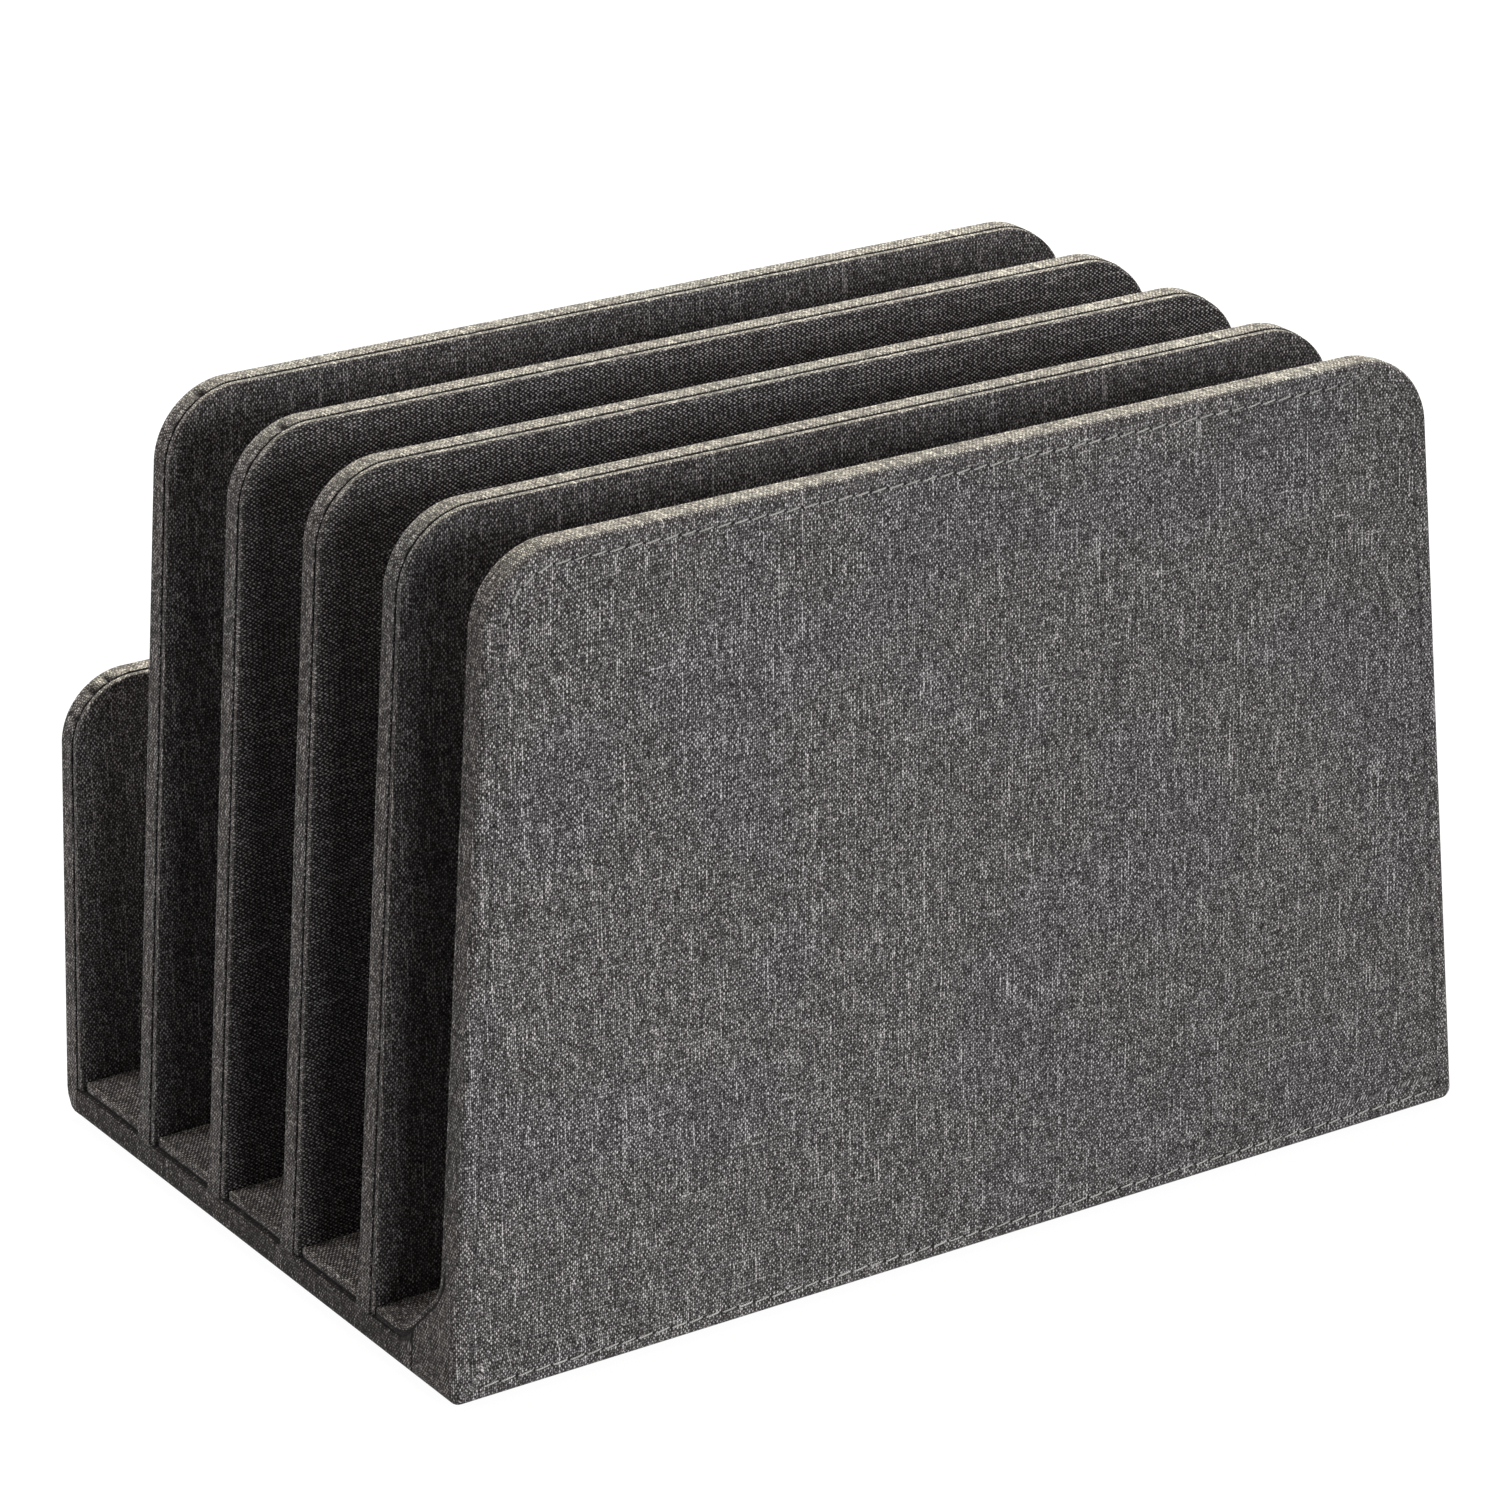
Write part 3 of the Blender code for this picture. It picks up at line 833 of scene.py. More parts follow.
def front_wrap():
    """The front panel's cloth, from its outline to the sewn face."""
    shape = new_shape()
    corners = corners_of(FOOT, FRONT_TOP, LEAN)
    rounds = (FOOT_CORNER, SHOULDER, SHOULDER, FOOT_CORNER)
    ring = draw_outline(shape, corners, rounds, FRONT_Y + FRONT_EDGE, FRONT_PITCH)
    front_face(shape, ring)
    front_back(shape, ring)
    wear_and_highlight_folds(shape, FRONT_Y, FRONT_EDGE, FRONT_TOP)
    pull_cloth(shape)
    finish_piece("front_wrap", shape, HEATHER, ["front_cover"])


front_wrap()

# %% [markdown]
# ## The stitches
#
# One line of pale thread runs round the front panel. Every stitch comes out of one needle hole
# and goes down the next, and lies a little askew, as a lockstitch does. A curve with a bevel
# could draw the whole line, but it would not dive into the holes. One small stitch is modelled
# from a circle that is extruded along its length, and copied round the line.

# %% Spin the thread
PLY_TURNS = 9


def spun_thread():
    """Twisted plies: pale, or darker in painted shade where the stitch also lies deeper in the cloth.
    """
    finish = Finish("pale_thread")
    around, down = finish.flat_place("cloth")
    ply = ((down * PLY_TURNS + around) * math.tau).math("SINE") * 0.5 + 0.5
    shade = finish.attribute("fold")
    pale = finish.mix(ply, (0.40, 0.39, 0.37, 1), (0.74, 0.72, 0.69, 1))
    thread_in_painted_shade = finish.mix(ply, (0.03, 0.028, 0.027, 1), (0.13, 0.12, 0.115, 1))
    finish.surface(Base_Color=finish.mix(shade, thread_in_painted_shade, pale), Roughness=0.75 + ply * 0.15)
    finish.surface(Sheen_Weight=0.1)
    finish.bump(ply, 0.5, 0.06 * MM)
    return finish.material


THREAD = spun_thread()
THREAD_RADIUS = 0.21 * MM
THREAD_SIDES = 8
THREAD_SPAN = 0.84
THREAD_DIVE = 0.34 * MM
STATIONS = (-0.5, -0.42, -0.28, 0.0, 0.28, 0.42, 0.5)


def one_stitch():
    """A stitch along X: the thread dives into a needle hole at each end."""
    shape = new_shape()
    ring = bmesh.ops.create_circle(shape, cap_ends=False, segments=THREAD_SIDES,
                                   radius=THREAD_RADIUS)["verts"]
    bmesh.ops.rotate(shape, verts=ring, matrix=Matrix.Rotation(math.pi / 2, 3, "Y"))
    around, down = layer(shape, "cloth_u"), layer(shape, "cloth_v")
    first = edges = list(shape.edges)
    bmesh.ops.translate(shape, verts=ring, vec=(STATIONS[0] * STITCH * THREAD_SPAN, THREAD_DIVE, 0))
    for number, vert in enumerate(ring):
        vert[around], vert[down] = number / THREAD_SIDES, STATIONS[0]
    for last, station in zip(STATIONS, STATIONS[1:]):
        grown = bmesh.ops.extrude_edge_only(shape, edges=edges)["geom"]
        edges, points = new_parts(grown, bmesh.types.BMEdge), new_parts(grown, bmesh.types.BMVert)
        dive = THREAD_DIVE * (abs(2 * station) ** 5 - abs(2 * last) ** 5)
        bmesh.ops.translate(shape, verts=points, vec=((station - last) * STITCH * THREAD_SPAN, dive, 0))
        for vert in points:
            vert[down] = station
    bmesh.ops.holes_fill(shape, edges=first + edges)
    return to_mesh("one_stitch", shape)


# %% Sew round the front panel
def seam_spot(stitches):
    """The point and the direction of the line after so many stitches."""
    walked = (stitches * STITCH) % SEAM_LENGTH
    number = max(index for index, distance in enumerate(SEAM_AT) if distance <= walked)
    near, far = SEAM[number], SEAM[(number + 1) % len(SEAM)]
    run = far - near
    return near + run * min((walked - SEAM_AT[number]) / run.length, 1), run.normalized()


def painted_thread_shade(spot):
    """Pale at the top and foot; painted shade down the sides, where it is pulled in, and at the right
    shoulder.
    """
    at_foot = smoothstep(12 * MM, 7 * MM, spot.z) * smoothstep(135 * MM, 132 * MM, abs(spot.x))
    at_top = 0.9 * smoothstep(170 * MM, 184 * MM, spot.z)
    far_shoulder = smoothstep(86 * MM, 112 * MM, spot.x) * smoothstep(100 * MM, 150 * MM, spot.z)
    return max(at_top, at_foot) * (1 - 0.75 * far_shoulder)


def uneven(number, pace, seed):
    """A number about 0 that wanders from stitch to stitch, the same in each run."""
    return noise.noise((number * pace, seed, 0))


def front_stitching():
    """The line of stitches as one piece, each stitch a little different."""
    pattern = one_stitch()
    shape = new_shape()
    for number in range(STITCH_COUNT):
        middle, along = seam_spot(number + 0.5)
        before = len(shape.verts)
        shape.from_mesh(pattern)
        shape.verts.ensure_lookup_table()
        added = shape.verts[before:]
        shade = painted_thread_shade(middle)
        askew = (0.13 + 0.10 * uneven(number, 1.7, 0)) * (1 if abs(along.x) > 0.5 else 0.3)
        turn = Matrix.Rotation(-math.atan2(along.z, along.x) - askew, 3, "Y")
        length, size = 1 + 0.08 * uneven(number, 3.1, 9), 1 + 0.25 * uneven(number, 2.3, 5)
        sink = 0.05 * MM + (1 - shade) * 0.20 * MM
        bmesh.ops.scale(shape, verts=added, vec=(length, size, size))
        bmesh.ops.rotate(shape, verts=added, matrix=turn)
        bmesh.ops.translate(shape, verts=added, vec=middle + Vector((0, sink, 0)))
        for vert in added:
            # On the thread the fold layer holds how pale it is, which is its painted shade, not wear
            vert[layer(shape, "fold")] = shade * (0.85 + 0.3 * uneven(number, 0.9, 2))
    bpy.data.meshes.remove(pattern)
    finish_piece("front_stitching", shape, THREAD)


front_stitching()

# %% [markdown]
# ## The dividers' cloth
#
# A divider is wrapped the other way round: its cloth covers the rear face, and the hem lies on
# the front, where a card hides it. At the round shoulders there is more cloth than the edge
# needs, so it lies in small pleats with painted shade in their hollows, and on two dividers a
# pleat leaves a little pit beside the card, darkened with painted shade. The cloth stands on the
# base, so the wrap is made a little too long and cut level.

# %% Turn cloth round a panel
PANEL_EDGE = 1.2 * MM
HEM_EDGE = 0.25 * MM
PANEL_HEM = 12 * MM
BACK_HEM = 2.6 * MM
HEM_DEPTH = 2.0 * MM
PANEL_PITCH = 2.0 * MM


def fading(radius):
    """An edge radius that fades out near the base, where the strip meets it flush."""
    return lambda place: radius * (0.12 + 0.88 * smoothstep(TABLE_TOP, TABLE_TOP + 4 * MM, place.z))


def panel_wrap(shape, ring, front, hem, rear_edge, hem_edge, shade):
    """Cloth round a panel's rear face: the face, the edge strip, the hem and the inside."""
    rear, fold = front + PANEL_DEPTH, front + HEM_DEPTH
    for vert in shape.verts:
        vert.co.y = rear - at(rear_edge, vert.co)
    face = round_over(shape, ring, rear_edge, rear - PANEL_EDGE, rear, 4, -1)
    face = grow(shape, face, 0.5 * MM, rear, -1)
    close(shape, face)
    ring = grow(shape, ring, 0.0, lambda place: place.y - HOLD)
    ring = grow(shape, ring, 0.0, lambda place: (place.y + fold) / 2)
    ring = grow(shape, ring, 0.0, fold + HEM_EDGE + HOLD)
    ring = grow(shape, ring, 0.0, fold + HEM_EDGE)
    ring = round_over(shape, ring, hem_edge, fold + HEM_EDGE, fold, 3)
    # Painted shade along the hem's fold, where the cloth goes under the card
    mark_ring(shape, ring, "shade", shade)
    ring = grow(shape, ring, 1.0 * MM, fold)
    ring = grow(shape, ring, hem - 1.6 * MM, fold)
    ring = grow(shape, ring, 0.0, fold + CLOTH)
    ring = grow(shape, ring, 1.0 * MM - hem, fold + CLOTH)
    ring = grow(shape, ring, 0.0, fold + 1.3 * MM, -1)
    ring = grow(shape, ring, 0.0, lambda place: rear - at(rear_edge, place), -1)
    ring = grow(shape, ring, 0.5 * MM, rear - CLOTH, -1)
    close(shape, ring)


# %% Gather the cloth round the shoulders
# Pits beside the card: the turn round the left shoulder in degrees from the top, and the width
PITS = {
    4: ((26, 2.0 * MM),),
    3: ((19, 2.0 * MM),),
    "back": ((36, 1.5 * MM), (20, 1.0 * MM), (62, 0.9 * MM)),
}
PLEAT_DEPTH = 0.10 * MM
BACK_PLEAT_DEPTH = 0.17 * MM
PIT_DEPTH = 1.2 * MM
PIT_PULL = 0.9 * MM


def gather(shape, fold_y, top, lean, radius, pits, seed, depth=PLEAT_DEPTH):
    """Pleats at both shoulders, deepest at the hem's fold, a few pits on the left one, and painted
    shade in both.
    """
    fold, shade = layer(shape, "fold"), layer(shape, "shade")
    centre_z = top - radius
    centre_x = HALF_WIDTH - lean * (centre_z - FOOT) - radius * math.hypot(1, lean)
    for vert in shape.verts:
        side = 1 if vert.co.x > 0 else -1
        from_x, from_z = vert.co.x * side - centre_x, vert.co.z - centre_z
        far = math.hypot(from_x, from_z)
        if from_x < 0 or from_z < -2 * MM or far < radius - 3 * MM:
            continue
        turn = math.degrees(math.atan2(from_x, from_z))
        corner = smoothstep(0, 22, turn) * smoothstep(100, 72, turn)
        near_fold = smoothstep(4.2 * MM, 0.4 * MM, vert.co.y - fold_y)
        ripple = math.sin(turn * 0.17 * radius / MM + seed * 2.1 + side)
        ripple += 0.6 * noise.noise((turn * 0.3, seed, side))
        inward = depth * corner * near_fold * (1 + ripple) / 2
        # Painted shade in the hollows of the pleats next to the fold
        if near_fold > 0.9:
            vert[shade] = max(vert[shade], corner * max(ripple, 0) * depth / (0.3 * MM))
        for place, width in pits if side < 0 else ():
            pit = math.exp(-(((turn - place) * math.pi / 180 * radius) / (width * 0.55)) ** 2)
            inward += PIT_DEPTH * pit * near_fold
            vert.co.y += PIT_PULL * pit * smoothstep(2.2 * MM, 0.2 * MM, vert.co.y - fold_y)
            vert[fold] *= 1 - pit * near_fold
            # Painted shade in the pit, darkest next to the fold
            dark = 2.0 * pit * smoothstep(3.2 * MM, 0.6 * MM, vert.co.y - fold_y)
            vert[shade] = max(vert[shade], dark)
        vert.co.x -= side * from_x / far * inward
        vert.co.z -= from_z / far * inward


def cut_level(shape, height):
    """Cut a piece off level at one height, and close the cut."""
    cut = bmesh.ops.bisect_plane(shape, geom=all_of(shape), plane_co=(0, 0, height),
                                 plane_no=(0, 0, -1), clear_outer=True)["geom_cut"]
    bmesh.ops.holes_fill(shape, edges=new_parts(cut, bmesh.types.BMEdge))


# %% Wrap the dividers
def divider_wrap(number):
    """The cloth of one divider."""
    front = DIVIDER_Y[number - 1]
    shape = new_shape()
    corners = corners_of(TABLE_TOP - 16 * MM, DIVIDER_TOP, LEAN)
    rounds = (0, SHOULDER, SHOULDER, 0)
    ring = draw_outline(shape, corners, rounds, front + PANEL_DEPTH - PANEL_EDGE, PANEL_PITCH)
    panel_wrap(shape, ring, front, PANEL_HEM, fading(PANEL_EDGE), fading(HEM_EDGE),
               tucked(DIVIDER_TOP))
    cut_level(shape, TABLE_TOP)
    wear_and_highlight_folds(shape, front + PANEL_DEPTH, PANEL_EDGE, DIVIDER_TOP)
    gather(shape, front + HEM_DEPTH, DIVIDER_TOP, LEAN, SHOULDER, PITS.get(number, ()), number)
    finish_piece(f"divider_wrap_{number}", shape, HEATHER, [f"divider_cover_{number}"])


for number in (1, 2, 3, 4):
    divider_wrap(number)

# %% [markdown]
# ## The back panel's cloth
#
# The low back panel reaches down behind the base, and its foot is rounded under the rear edge. It
# could be the same mesh as a divider at another height. It is wrapped anew with the same helper,
# because its foot is rounded and its cloth is gathered more.

# %% Wrap the back panel
def back_wrap():
    """The cloth of the low back panel, with a rounder edge under its rear."""
    shape = new_shape()
    corners = corners_of(FOOT, BACK_TOP, BACK_LEAN)
    rounds = (FOOT_CORNER, BACK_SHOULDER, BACK_SHOULDER, FOOT_CORNER)
    ring = draw_outline(shape, corners, rounds, BACK_Y + PANEL_DEPTH - PANEL_EDGE, PANEL_PITCH)

    def rear_edge(place):
        return PANEL_EDGE + 2.4 * MM * smoothstep(FOOT + 6 * MM, FOOT + 2 * MM, place.z)

    panel_wrap(shape, ring, BACK_Y, BACK_HEM, rear_edge, HEM_EDGE, tucked(BACK_TOP))
    wear_and_highlight_folds(shape, BACK_Y + PANEL_DEPTH, PANEL_EDGE, BACK_TOP)
    gather(shape, BACK_Y + HEM_DEPTH, BACK_TOP, BACK_LEAN, BACK_SHOULDER, PITS["back"], 9,
           BACK_PLEAT_DEPTH)
    finish_piece("back_wrap", shape, HEATHER, ["back_cover"])


back_wrap()

# %% [markdown]
# ## Cards covered with the same cloth
#
# A card with cloth pasted round it hides the hems on each panel, and others line the floors of
# the slots. A bevelled box would do for one card. These follow the panels' outlines, so a card is
# drawn flat with a soft rim, ring by ring like the wraps, and then put in place.

# %% Make a covered card
CARD_RIM = 0.4 * MM
CARD_PITCH = 2.0 * MM
CARD_CORNER = 0.6 * MM
# Depths from the seen face at which the painted shade on a card's side begins
FLOOR_LIP = 1.9 * MM
LINER_LIP = 1.05 * MM


def flat_card(corners, rounds, thickness, pitch=CARD_PITCH, rib_light_and_shade=0.0, shade=1.0, wear_and_highlight=0.3, lip=None):
    """A card in the plane of a panel: its seen face at depth 0 and its glued face behind.

    The rim gets wear and a painted highlight, and the side gets painted shade at the glued face
    or, with a lip, from that depth on.
    """
    shape = new_shape()
    ring = draw_outline(shape, corners, rounds, CARD_RIM, pitch)
    face = round_over(shape, ring, CARD_RIM, CARD_RIM, 0.0, 4, -1)
    # Wear and a painted highlight on the rim
    mark_ring(shape, face, "fold", wear_and_highlight)
    face = grow(shape, face, 0.5 * MM, 0.0, -1)
    mark_ring(shape, face, "fold", 0.0)
    mark_ring(shape, face, "rib_light_and_shade", rib_light_and_shade)
    close(shape, face)
    ring = grow(shape, ring, 0.0, CARD_RIM + HOLD)
    # With a lip, painted shade starts on the side at that depth
    if lip:
        ring = grow(shape, ring, 0.0, lip)
        ring = grow(shape, ring, 0.0, lip + 0.12 * MM)
        mark_ring(shape, ring, "shade", shade)
    ring = grow(shape, ring, 0.0, thickness - 0.3 * MM)
    ring = grow(shape, ring, 0.1 * MM, thickness - 0.1 * MM)
    # Painted shade on the side next to the glued face
    mark_ring(shape, ring, "shade", shade)
    ring = grow(shape, ring, 0.2 * MM, thickness)
    close(shape, ring)
    return shape


def facing(name, node, front, top, lean, shoulder, turned=False):
    """The card on the front of a divider or of the back panel."""
    corners = corners_of(TABLE_TOP, top - CARD_MARGIN, lean, CARD_MARGIN)
    round_top = shoulder - CARD_MARGIN
    # Painted rib light and shade, stronger on the cards cut crosswise, and painted shade round the
    # glued side
    rib_light_and_shade = 0.7 if turned else 0.15
    rounds = (CARD_CORNER, round_top, round_top, CARD_CORNER)
    shape = flat_card(corners, rounds, FACING_CARD, rib_light_and_shade=rib_light_and_shade, shade=tucked(top))
    wear_and_highlight_folds(shape, 0.0, CARD_RIM, top)
    bmesh.ops.translate(shape, verts=shape.verts, vec=(0, front, 0))
    finish_piece(name, shape, HEATHER, [node], turned=turned)


for number, front in enumerate(DIVIDER_Y, 1):
    facing(f"divider_lining_{number}", f"divider_facing_{number}", front, DIVIDER_TOP, LEAN,
           SHOULDER, turned=number in (2, 3))
facing("back_lining", "back_facing", BACK_Y, BACK_TOP, BACK_LEAN, BACK_SHOULDER)

# %% [markdown]
# ## The floors of the slots
#
# Each floor is a narrow card between two panels. It could be drawn in place, but the rings grow
# along Y, so it is drawn upright like the others and then laid down with a turn about X.

# %% Lay the slot floors
def slot_floor(number):
    """The card on the floor of one slot, whose ribs get painted light and shade, as in the light from
    above.
    """
    low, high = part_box(f"slot_floor_{number}")
    half = high.x - 0.05 * MM
    corners = [(half, low.y), (half, high.y), (-half, high.y), (-half, low.y)]
    # A rim with wear and a strong painted highlight, and painted shade on the side below the lip
    shape = flat_card(corners, (0.8 * MM,) * 4, FLOOR_CARD, rib_light_and_shade=0.6, shade=1.6, wear_and_highlight=0.9,
                      lip=FLOOR_LIP)
    bmesh.ops.rotate(shape, verts=shape.verts, matrix=Matrix.Rotation(-math.pi / 2, 3, "X"))
    for vert in shape.verts:
        vert.co.z = high.z + vert.co.z
    finish_piece(f"slot_carpet_{number}", shape, HEATHER, [f"slot_floor_{number}"])


for number in (2, 3, 4, 5):
    slot_floor(number)

# %% [markdown]
# ## The front liner
#
# Behind the front panel one long card runs down the board, round the cove and along the floor of
# the first slot. It is cut flat, scored across where it bends, and then bent, just as a maker
# would do it: each row of points moves along the cove's two bends and the slant between them.

# %% Bend the front liner
BEND = COVE_BEND * math.pi / 4
BEND_STEPS = 6
SLANT = COVE_LEG * math.sqrt(2) - 2 * COVE_TANGENT


def bend_liner(place):
    """Where a point of the flat liner goes. Its height above the floor line becomes the path."""
    deep, path = place.y, UPPER_AXIS[1] - place.z
    if path <= 0:
        return Vector((place.x, LINER_Y - deep, place.z))
    if path >= 2 * BEND + SLANT:
        return Vector((place.x, LOWER_AXIS[0] + path - 2 * BEND - SLANT, SLOT_FLOOR - deep))
    axis, slid = UPPER_AXIS, 0.0
    turn = path / COVE_BEND
    if path > BEND + SLANT:
        axis, turn = LOWER_AXIS, (path - SLANT) / COVE_BEND
    elif path > BEND:
        turn, slid = math.pi / 4, (path - BEND) * math.sqrt(0.5)
    radius = COVE_BEND + deep
    depth, height = axis[0] - radius * math.cos(turn), axis[1] - radius * math.sin(turn)
    return Vector((place.x, depth + slid, height - slid))


def score_liner(shape):
    """Rows of points across the flat card where it bends."""
    bends = [BEND * step / BEND_STEPS for step in range(BEND_STEPS + 1)]
    for score in bends + [BEND + SLANT + bend for bend in bends]:
        bmesh.ops.bisect_plane(shape, geom=all_of(shape), plane_co=(0, 0, UPPER_AXIS[1] - score),
                               plane_no=(0, 0, 1))


def front_liner():
    """The bent card behind the front panel: wear, painted highlight and painted shade along cove and
    floor.
    """
    top = FRONT_TOP - CARD_MARGIN
    low = UPPER_AXIS[1] - 2 * BEND - SLANT - (LINER_END - LOWER_AXIS[0])
    corners = corners_of(low, top, LEAN, CARD_MARGIN)
    round_top = SHOULDER - CARD_MARGIN

    # Wear and a painted highlight on the rim, most along the cove and the floor
    def wear_and_highlight(place):
        return 0.3 + 0.7 * smoothstep(34 * MM, 28 * MM, place.z)

    # Painted shade under the lip along the cove and the floor
    def shade(place):
        return 1.6 * smoothstep(32 * MM, 29 * MM, place.z)

    rounds = (CARD_CORNER, round_top, round_top, CARD_CORNER)
    shape = flat_card(corners, rounds, FLOOR_CARD, wear_and_highlight=wear_and_highlight, shade=shade, lip=LINER_LIP)
    wear_and_highlight_folds(shape, 0.0, CARD_RIM, FRONT_TOP)
    score_liner(shape)
    for vert in shape.verts:
        bent = bend_liner(vert.co)
        if bent.z < UPPER_AXIS[1]:
            wide, flat_wide = (corners_of(height, top, LEAN, CARD_MARGIN)[0][0]
                               for height in (bent.z, vert.co.z))
            bent.x *= wide / flat_wide
        vert.co = bent
    finish_piece("front_lining", shape, HEATHER, ["front_liner"])


front_liner()

# %% [markdown]
# ## The base's cloth
#
# The cloth of the base goes under its board, up both sides and a little way over the top. A
# closed box would hide that it is one strip. The outline is drawn once, opened at the top, and
# extruded from the front to the rear in short steps, so that the edge can rise where a panel
# stands on it and where it meets the cove. A Solidify modifier then gives the cloth its thickness.

# %% Wrap the base
BASE_HEM = 12 * MM
BASE_TOP = 8.6 * MM
BASE_EDGE = 1.2 * MM
BASE_FOOT = 2.6 * MM
BASE_PITCH = 8 * MM
BASE_STEPS = 160


def under_panel(depth):
    """1 under the edge strip of a divider or of the back panel, and 0 in the slots."""
    inside = 0.0
    for front in (*DIVIDER_Y, BACK_Y):
        near = min(depth - front - HEM_DEPTH, front + PANEL_DEPTH - depth)
        inside = max(inside, smoothstep(-1.2 * MM, 0.4 * MM, near))
    return inside


def paint_base_shade(shape, vert):
    """Painted shade on the base's side, as the stand's own shade: darker towards the table, less in
    front.
    """
    height = (vert.co.z - FOOT) / (BASE_TOP - FOOT)
    rising = smoothstep(LOWER_AXIS[0] - 9 * MM, LOWER_AXIS[0], vert.co.y)
    vert[layer(shape, "shade")] = (0.66 - 0.34 * min(max(height, 0), 1)) * (0.3 + 0.7 * rising)
    inset = HALF_WIDTH - LEAN * (vert.co.z - FOOT) - abs(vert.co.x)
    # Painted shade along the top edge, beside the cove and under the floor cards' rims
    if height > 0.9 and inset > 0.3 * MM and vert.co.y < LOWER_AXIS[0]:
        vert[layer(shape, "shade")] = 1.0
    elif height > 0.97 and inset > 0.3 * MM:
        vert[layer(shape, "shade")] = 1.2 * (1 - under_panel(vert.co.y))


def fit_base(vert):
    """Square the rounded top edge where a strip stands on it, and raise it to meet the cove."""
    low = BASE_TOP - BASE_EDGE
    if vert.co.z < low:
        return
    squared = under_panel(vert.co.y)
    side = 1 if vert.co.x > 0 else -1
    edge = HALF_WIDTH - LEAN * (vert.co.z - FOOT)
    inset = edge - vert.co.x * side
    if inset < BASE_EDGE + 0.1 * MM:
        vert.co.x += side * inset * squared
        vert.co.z += (TABLE_TOP - 0.02 * MM - BASE_TOP) * squared * (vert.co.z - low) / BASE_EDGE
    drop = LOWER_AXIS[0] - vert.co.y
    if drop > 0:
        radius = COVE_BEND + 2.6 * MM - 1.1 * MM * smoothstep(0, 8.4 * MM, drop)
        under_liner = LOWER_AXIS[1] - math.sqrt(radius * radius - drop * drop)
        vert.co.z += max(under_liner - BASE_TOP, 0) * (vert.co.z - low) / BASE_EDGE


def base_wrap():
    """One strip of cloth under the base, up both sides and over the top edge."""
    shape = new_shape()
    rounds = (BASE_FOOT, BASE_EDGE, BASE_EDGE, BASE_FOOT)
    ring = draw_outline(shape, corners_of(FOOT, BASE_TOP, LEAN), rounds, BASE_START, BASE_PITCH)
    top = [edge for edge in ring if all(vert.co.z > BASE_TOP - 0.01 * MM for vert in edge.verts)
           and all(abs(vert.co.x) < HALF_WIDTH - BASE_HEM for vert in edge.verts)]
    bmesh.ops.delete(shape, geom=top, context="EDGES")
    strip = list(shape.edges)
    across, up, along = layer(shape, "cloth_u"), layer(shape, "cloth_v"), layer(shape, "along")
    for vert in shape.verts:
        vert[across], vert[up] = BASE_START, vert[along]
    step = (BASE_END - BASE_START) / BASE_STEPS
    for _ in range(BASE_STEPS):
        grown = bmesh.ops.extrude_edge_only(shape, edges=strip)["geom"]
        strip = new_parts(grown, bmesh.types.BMEdge)
        for vert in new_parts(grown, bmesh.types.BMVert):
            vert.co.y += step
            vert[across] += step
    for vert in shape.verts:
        paint_base_shade(shape, vert)
        fit_base(vert)
        if vert.co.y < BASE_START + 0.01 * MM:
            vert.co.y -= 0.27 * MM
    piece = finish_piece("base_wrap", shape, HEATHER, ["base_cover"])
    wall = piece.modifiers.new("wall", "SOLIDIFY")
    wall.thickness = CLOTH
    wall.offset = -1
    wall.use_even_offset = True


base_wrap()

# %% [markdown]
# ## The sheet underneath
#
# A thin sheet of felt hides the hems under the base. Loose fibres could be modelled, but they
# would never be seen, so a fine noise in the colour and the bump is enough.

# %% Make the felt
def felt():
    """Matted black fibres."""
    finish = Finish("black_felt")
    fibre = finish.noise(finish.object_place(), 900.0, 4.0, 0.7, flat=False)
    colour = finish.mix(fibre, (0.008, 0.008, 0.009, 1), (0.045, 0.045, 0.048, 1))
    finish.surface(Base_Color=colour, Roughness=1.0)
    finish.bump(fibre, 0.5, 0.3 * MM)
    return finish.material


FELT = felt()
FELT_CORNER = 5 * MM
FELT_PITCH = 6 * MM


def bottom_felt():
    """The felt sheet, drawn upright and laid down with its seen face below."""
    low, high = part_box("bottom_lining")
    corners = [(high.x, low.y), (high.x, high.y), (low.x, high.y), (low.x, low.y)]
    shape = flat_card(corners, (FELT_CORNER,) * 4, high.z - low.z, pitch=FELT_PITCH)
    bmesh.ops.rotate(shape, verts=shape.verts, matrix=Matrix.Rotation(math.pi / 2, 3, "X"))
    for vert in shape.verts:
        vert.co.y = -vert.co.y
    finish_piece("bottom_felt", shape, FELT, ["bottom_lining"])


bottom_felt()

# %% [markdown]
# ## The boards and the coved strip
#
# They are hidden, and still get the finish of the real thing, for anyone who takes the stand
# apart. Their shapes come from the CAD model as they are, so only the material is changed.

# %% Finish the boards
def pressed_board():
    """Grey board pressed from waste paper, with darker patches."""
    finish = Finish("pressed_board")
    place = finish.object_place()
    fibre = finish.noise(place, 420.0, 5.0, 0.7, flat=False)
    patch = finish.noise(place, 35.0, 2.0, 0.5, flat=False)
    colour = finish.mix(fibre, (0.20, 0.18, 0.16, 1), (0.48, 0.45, 0.40, 1))
    colour = finish.mix(patch * 0.4, colour, (0.30, 0.26, 0.21, 1))
    finish.surface(Base_Color=colour, Roughness=0.82 + fibre * 0.14)
    finish.bump(fibre, 0.3, 0.2 * MM)
    return finish.material


def planed_strip():
    """Planed wood, with its grain along the strip."""
    finish = Finish("planed_strip")
    x, y, z = finish.parts(finish.object_place())
    grain = finish.noise(finish.vector(x * 12, y * 420, z * 420), 1.0, 3.0, 0.6, flat=False)
    colour = finish.mix(grain, (0.36, 0.25, 0.15, 1), (0.70, 0.57, 0.40, 1))
    finish.surface(Base_Color=colour, Roughness=0.5 + grain * 0.3)
    finish.bump(grain, 0.25, 0.2 * MM)
    return finish.material


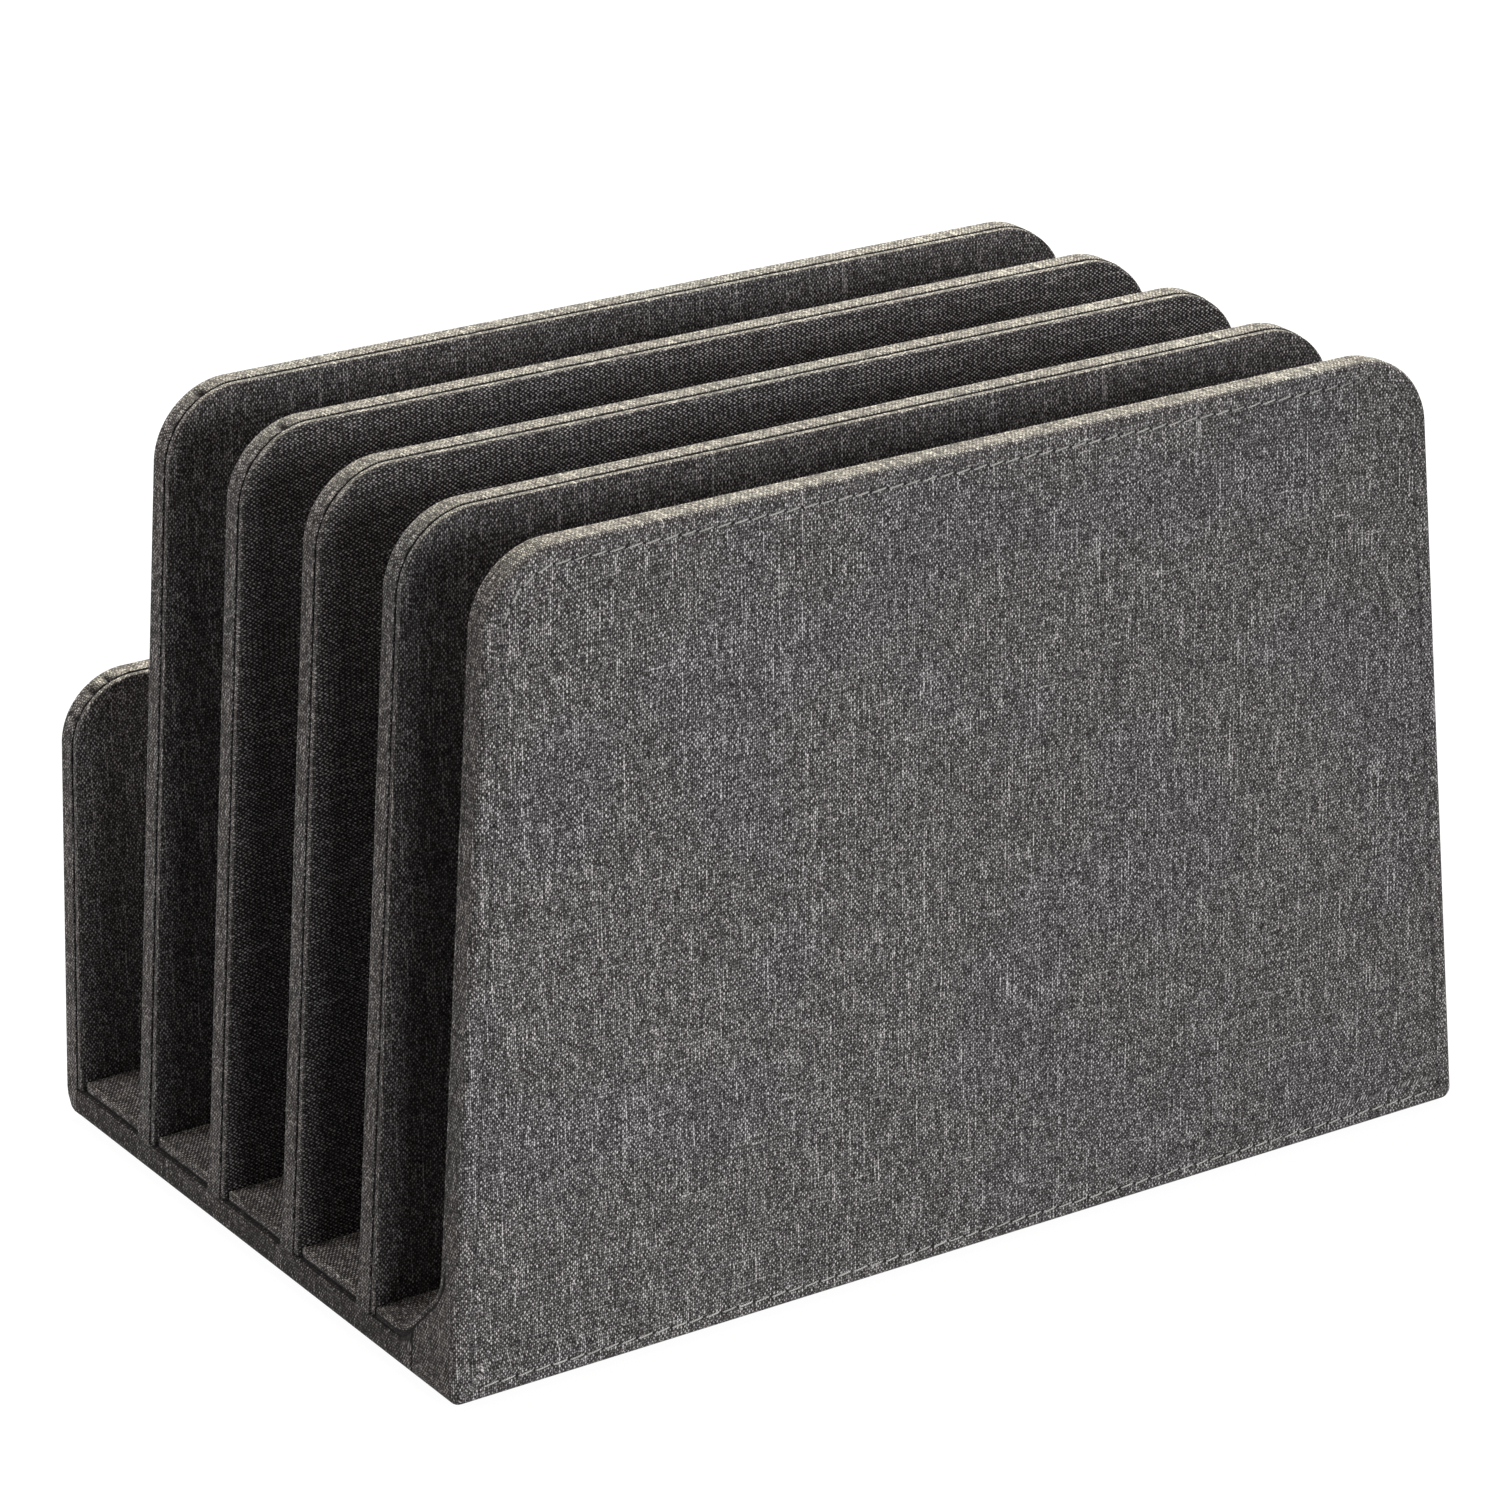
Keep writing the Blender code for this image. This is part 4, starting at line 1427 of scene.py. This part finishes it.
BOARD, STRIP = pressed_board(), planed_strip()
for name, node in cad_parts.items():
    if name.endswith("_board") or "_board_" in name:
        node.material_slots[0].material = BOARD
    elif name == "cove_filler":
        node.material_slots[0].material = STRIP
print("boards and strip: finished with", BOARD.name, "and", STRIP.name)

# %% [markdown]
# ## The floor
#
# The photograph stands on plain white. A bright lamp could bleach the floor, but it would bleach
# the cloth as well. Here the floor is grey to all light, and Light Path adds a white glow that only
# the camera and reflections see. The stand's faint shadow stays.

# %% Lay the floor
FLOOR_GREY = (0.1, 0.1, 0.1, 1)
FLOOR_GLOW = 0.96
FLOOR_SIZE = 4


def white_floor():
    """A floor that glows for the camera and is a plain grey for all other light."""
    finish = Finish("studio_floor")
    tree = finish.tree
    tree.nodes.remove(finish.shader)
    path = finish.node("ShaderNodeLightPath")
    seen = finish.value(path, "Is Camera Ray").math("MAXIMUM", finish.value(path, "Is Glossy Ray"))
    seen = seen.math("MAXIMUM", finish.value(path, "Is Transmission Ray"))
    glow = finish.value(finish.node("ShaderNodeEmission", None, {"Strength": FLOOR_GLOW}), "Emission")
    plain = finish.value(finish.node("ShaderNodeBsdfDiffuse", None, {"Color": FLOOR_GREY}), "BSDF")
    both = finish.value(finish.node("ShaderNodeAddShader", None, {0: glow, 1: plain}), "Shader")
    mixed = finish.node("ShaderNodeMixShader", None, {0: seen, 1: plain, 2: both})
    mixed = finish.value(mixed, "Shader")
    finish.feed(tree.nodes["Material Output"].inputs["Surface"], mixed)
    shape = bmesh.new()
    bmesh.ops.create_grid(shape, x_segments=1, y_segments=1, size=FLOOR_SIZE)
    mesh = to_mesh("floor", shape)
    mesh.materials.append(finish.material)
    new_object("floor", mesh)


white_floor()
print("floor: glows with strength", FLOOR_GLOW, "for the camera")

# %% [markdown]
# ## The lamps
#
# The real light comes from a soft box high behind the stand, which leaves the slots dark and the
# top edges pale, and from weaker ones in front. One large sky would be simpler, but it would fill
# the slots. Each lamp is an area lamp that is aimed at a point, and the world stays dark.

# %% Hang the lamps
WHITE = (1, 1, 1)
WARM = (1.0, 0.975, 0.93)
STAND_MIDDLE = Vector((0, 0, 0.09))

# The place in metres, the width and height, the power in watts and the colour
LAMPS = {
    "top_right": ((0.7, 0.8, 1.2), (0.5, 0.5), 44.9, WARM),
    "top": ((0, 0, 1.6), (0.7, 0.7), 8.6, WARM),
    "front_right": ((1.1, -1.2, 0.5), (0.6, 0.6), 5.8, WHITE),
    "front": ((0, -1.3, 0.4), (0.25, 0.4), 6.3, WHITE),
    "front_foot": ((-0.15, -0.45, 0.04), (0.16, 0.06), 0.48, WHITE),
    "left_rear": ((-1.0, 0.5, 0.55), (0.3, 0.3), 3.8, WHITE),
    "left_near": ((-0.75, 0.45, 0.12), (0.25, 0.2), 1.0, WHITE),
}


def lamp(name, place, size, power, colour):
    """An area lamp aimed at the middle of the stand."""
    data = bpy.data.lights.new(name, "AREA")
    data.shape = "RECTANGLE"
    data.size, data.size_y = size
    data.energy = power
    data.color = colour
    hung = new_object(name, data)
    hung.location = place
    hung.rotation_mode = "QUATERNION"
    hung.rotation_quaternion = (STAND_MIDDLE - Vector(place)).to_track_quat("-Z", "Y")


for name, settings in LAMPS.items():
    lamp(name, *settings)
print(len(LAMPS), "lamps, the strongest of", max(power for _, _, power, _ in LAMPS.values()), "W")

world = bpy.data.worlds.new("studio")
bpy.context.scene.world = world
world.use_nodes = True
world.node_tree.nodes["Background"].inputs["Strength"].default_value = 0.0
bpy.context.scene.view_settings.view_transform = "Standard"
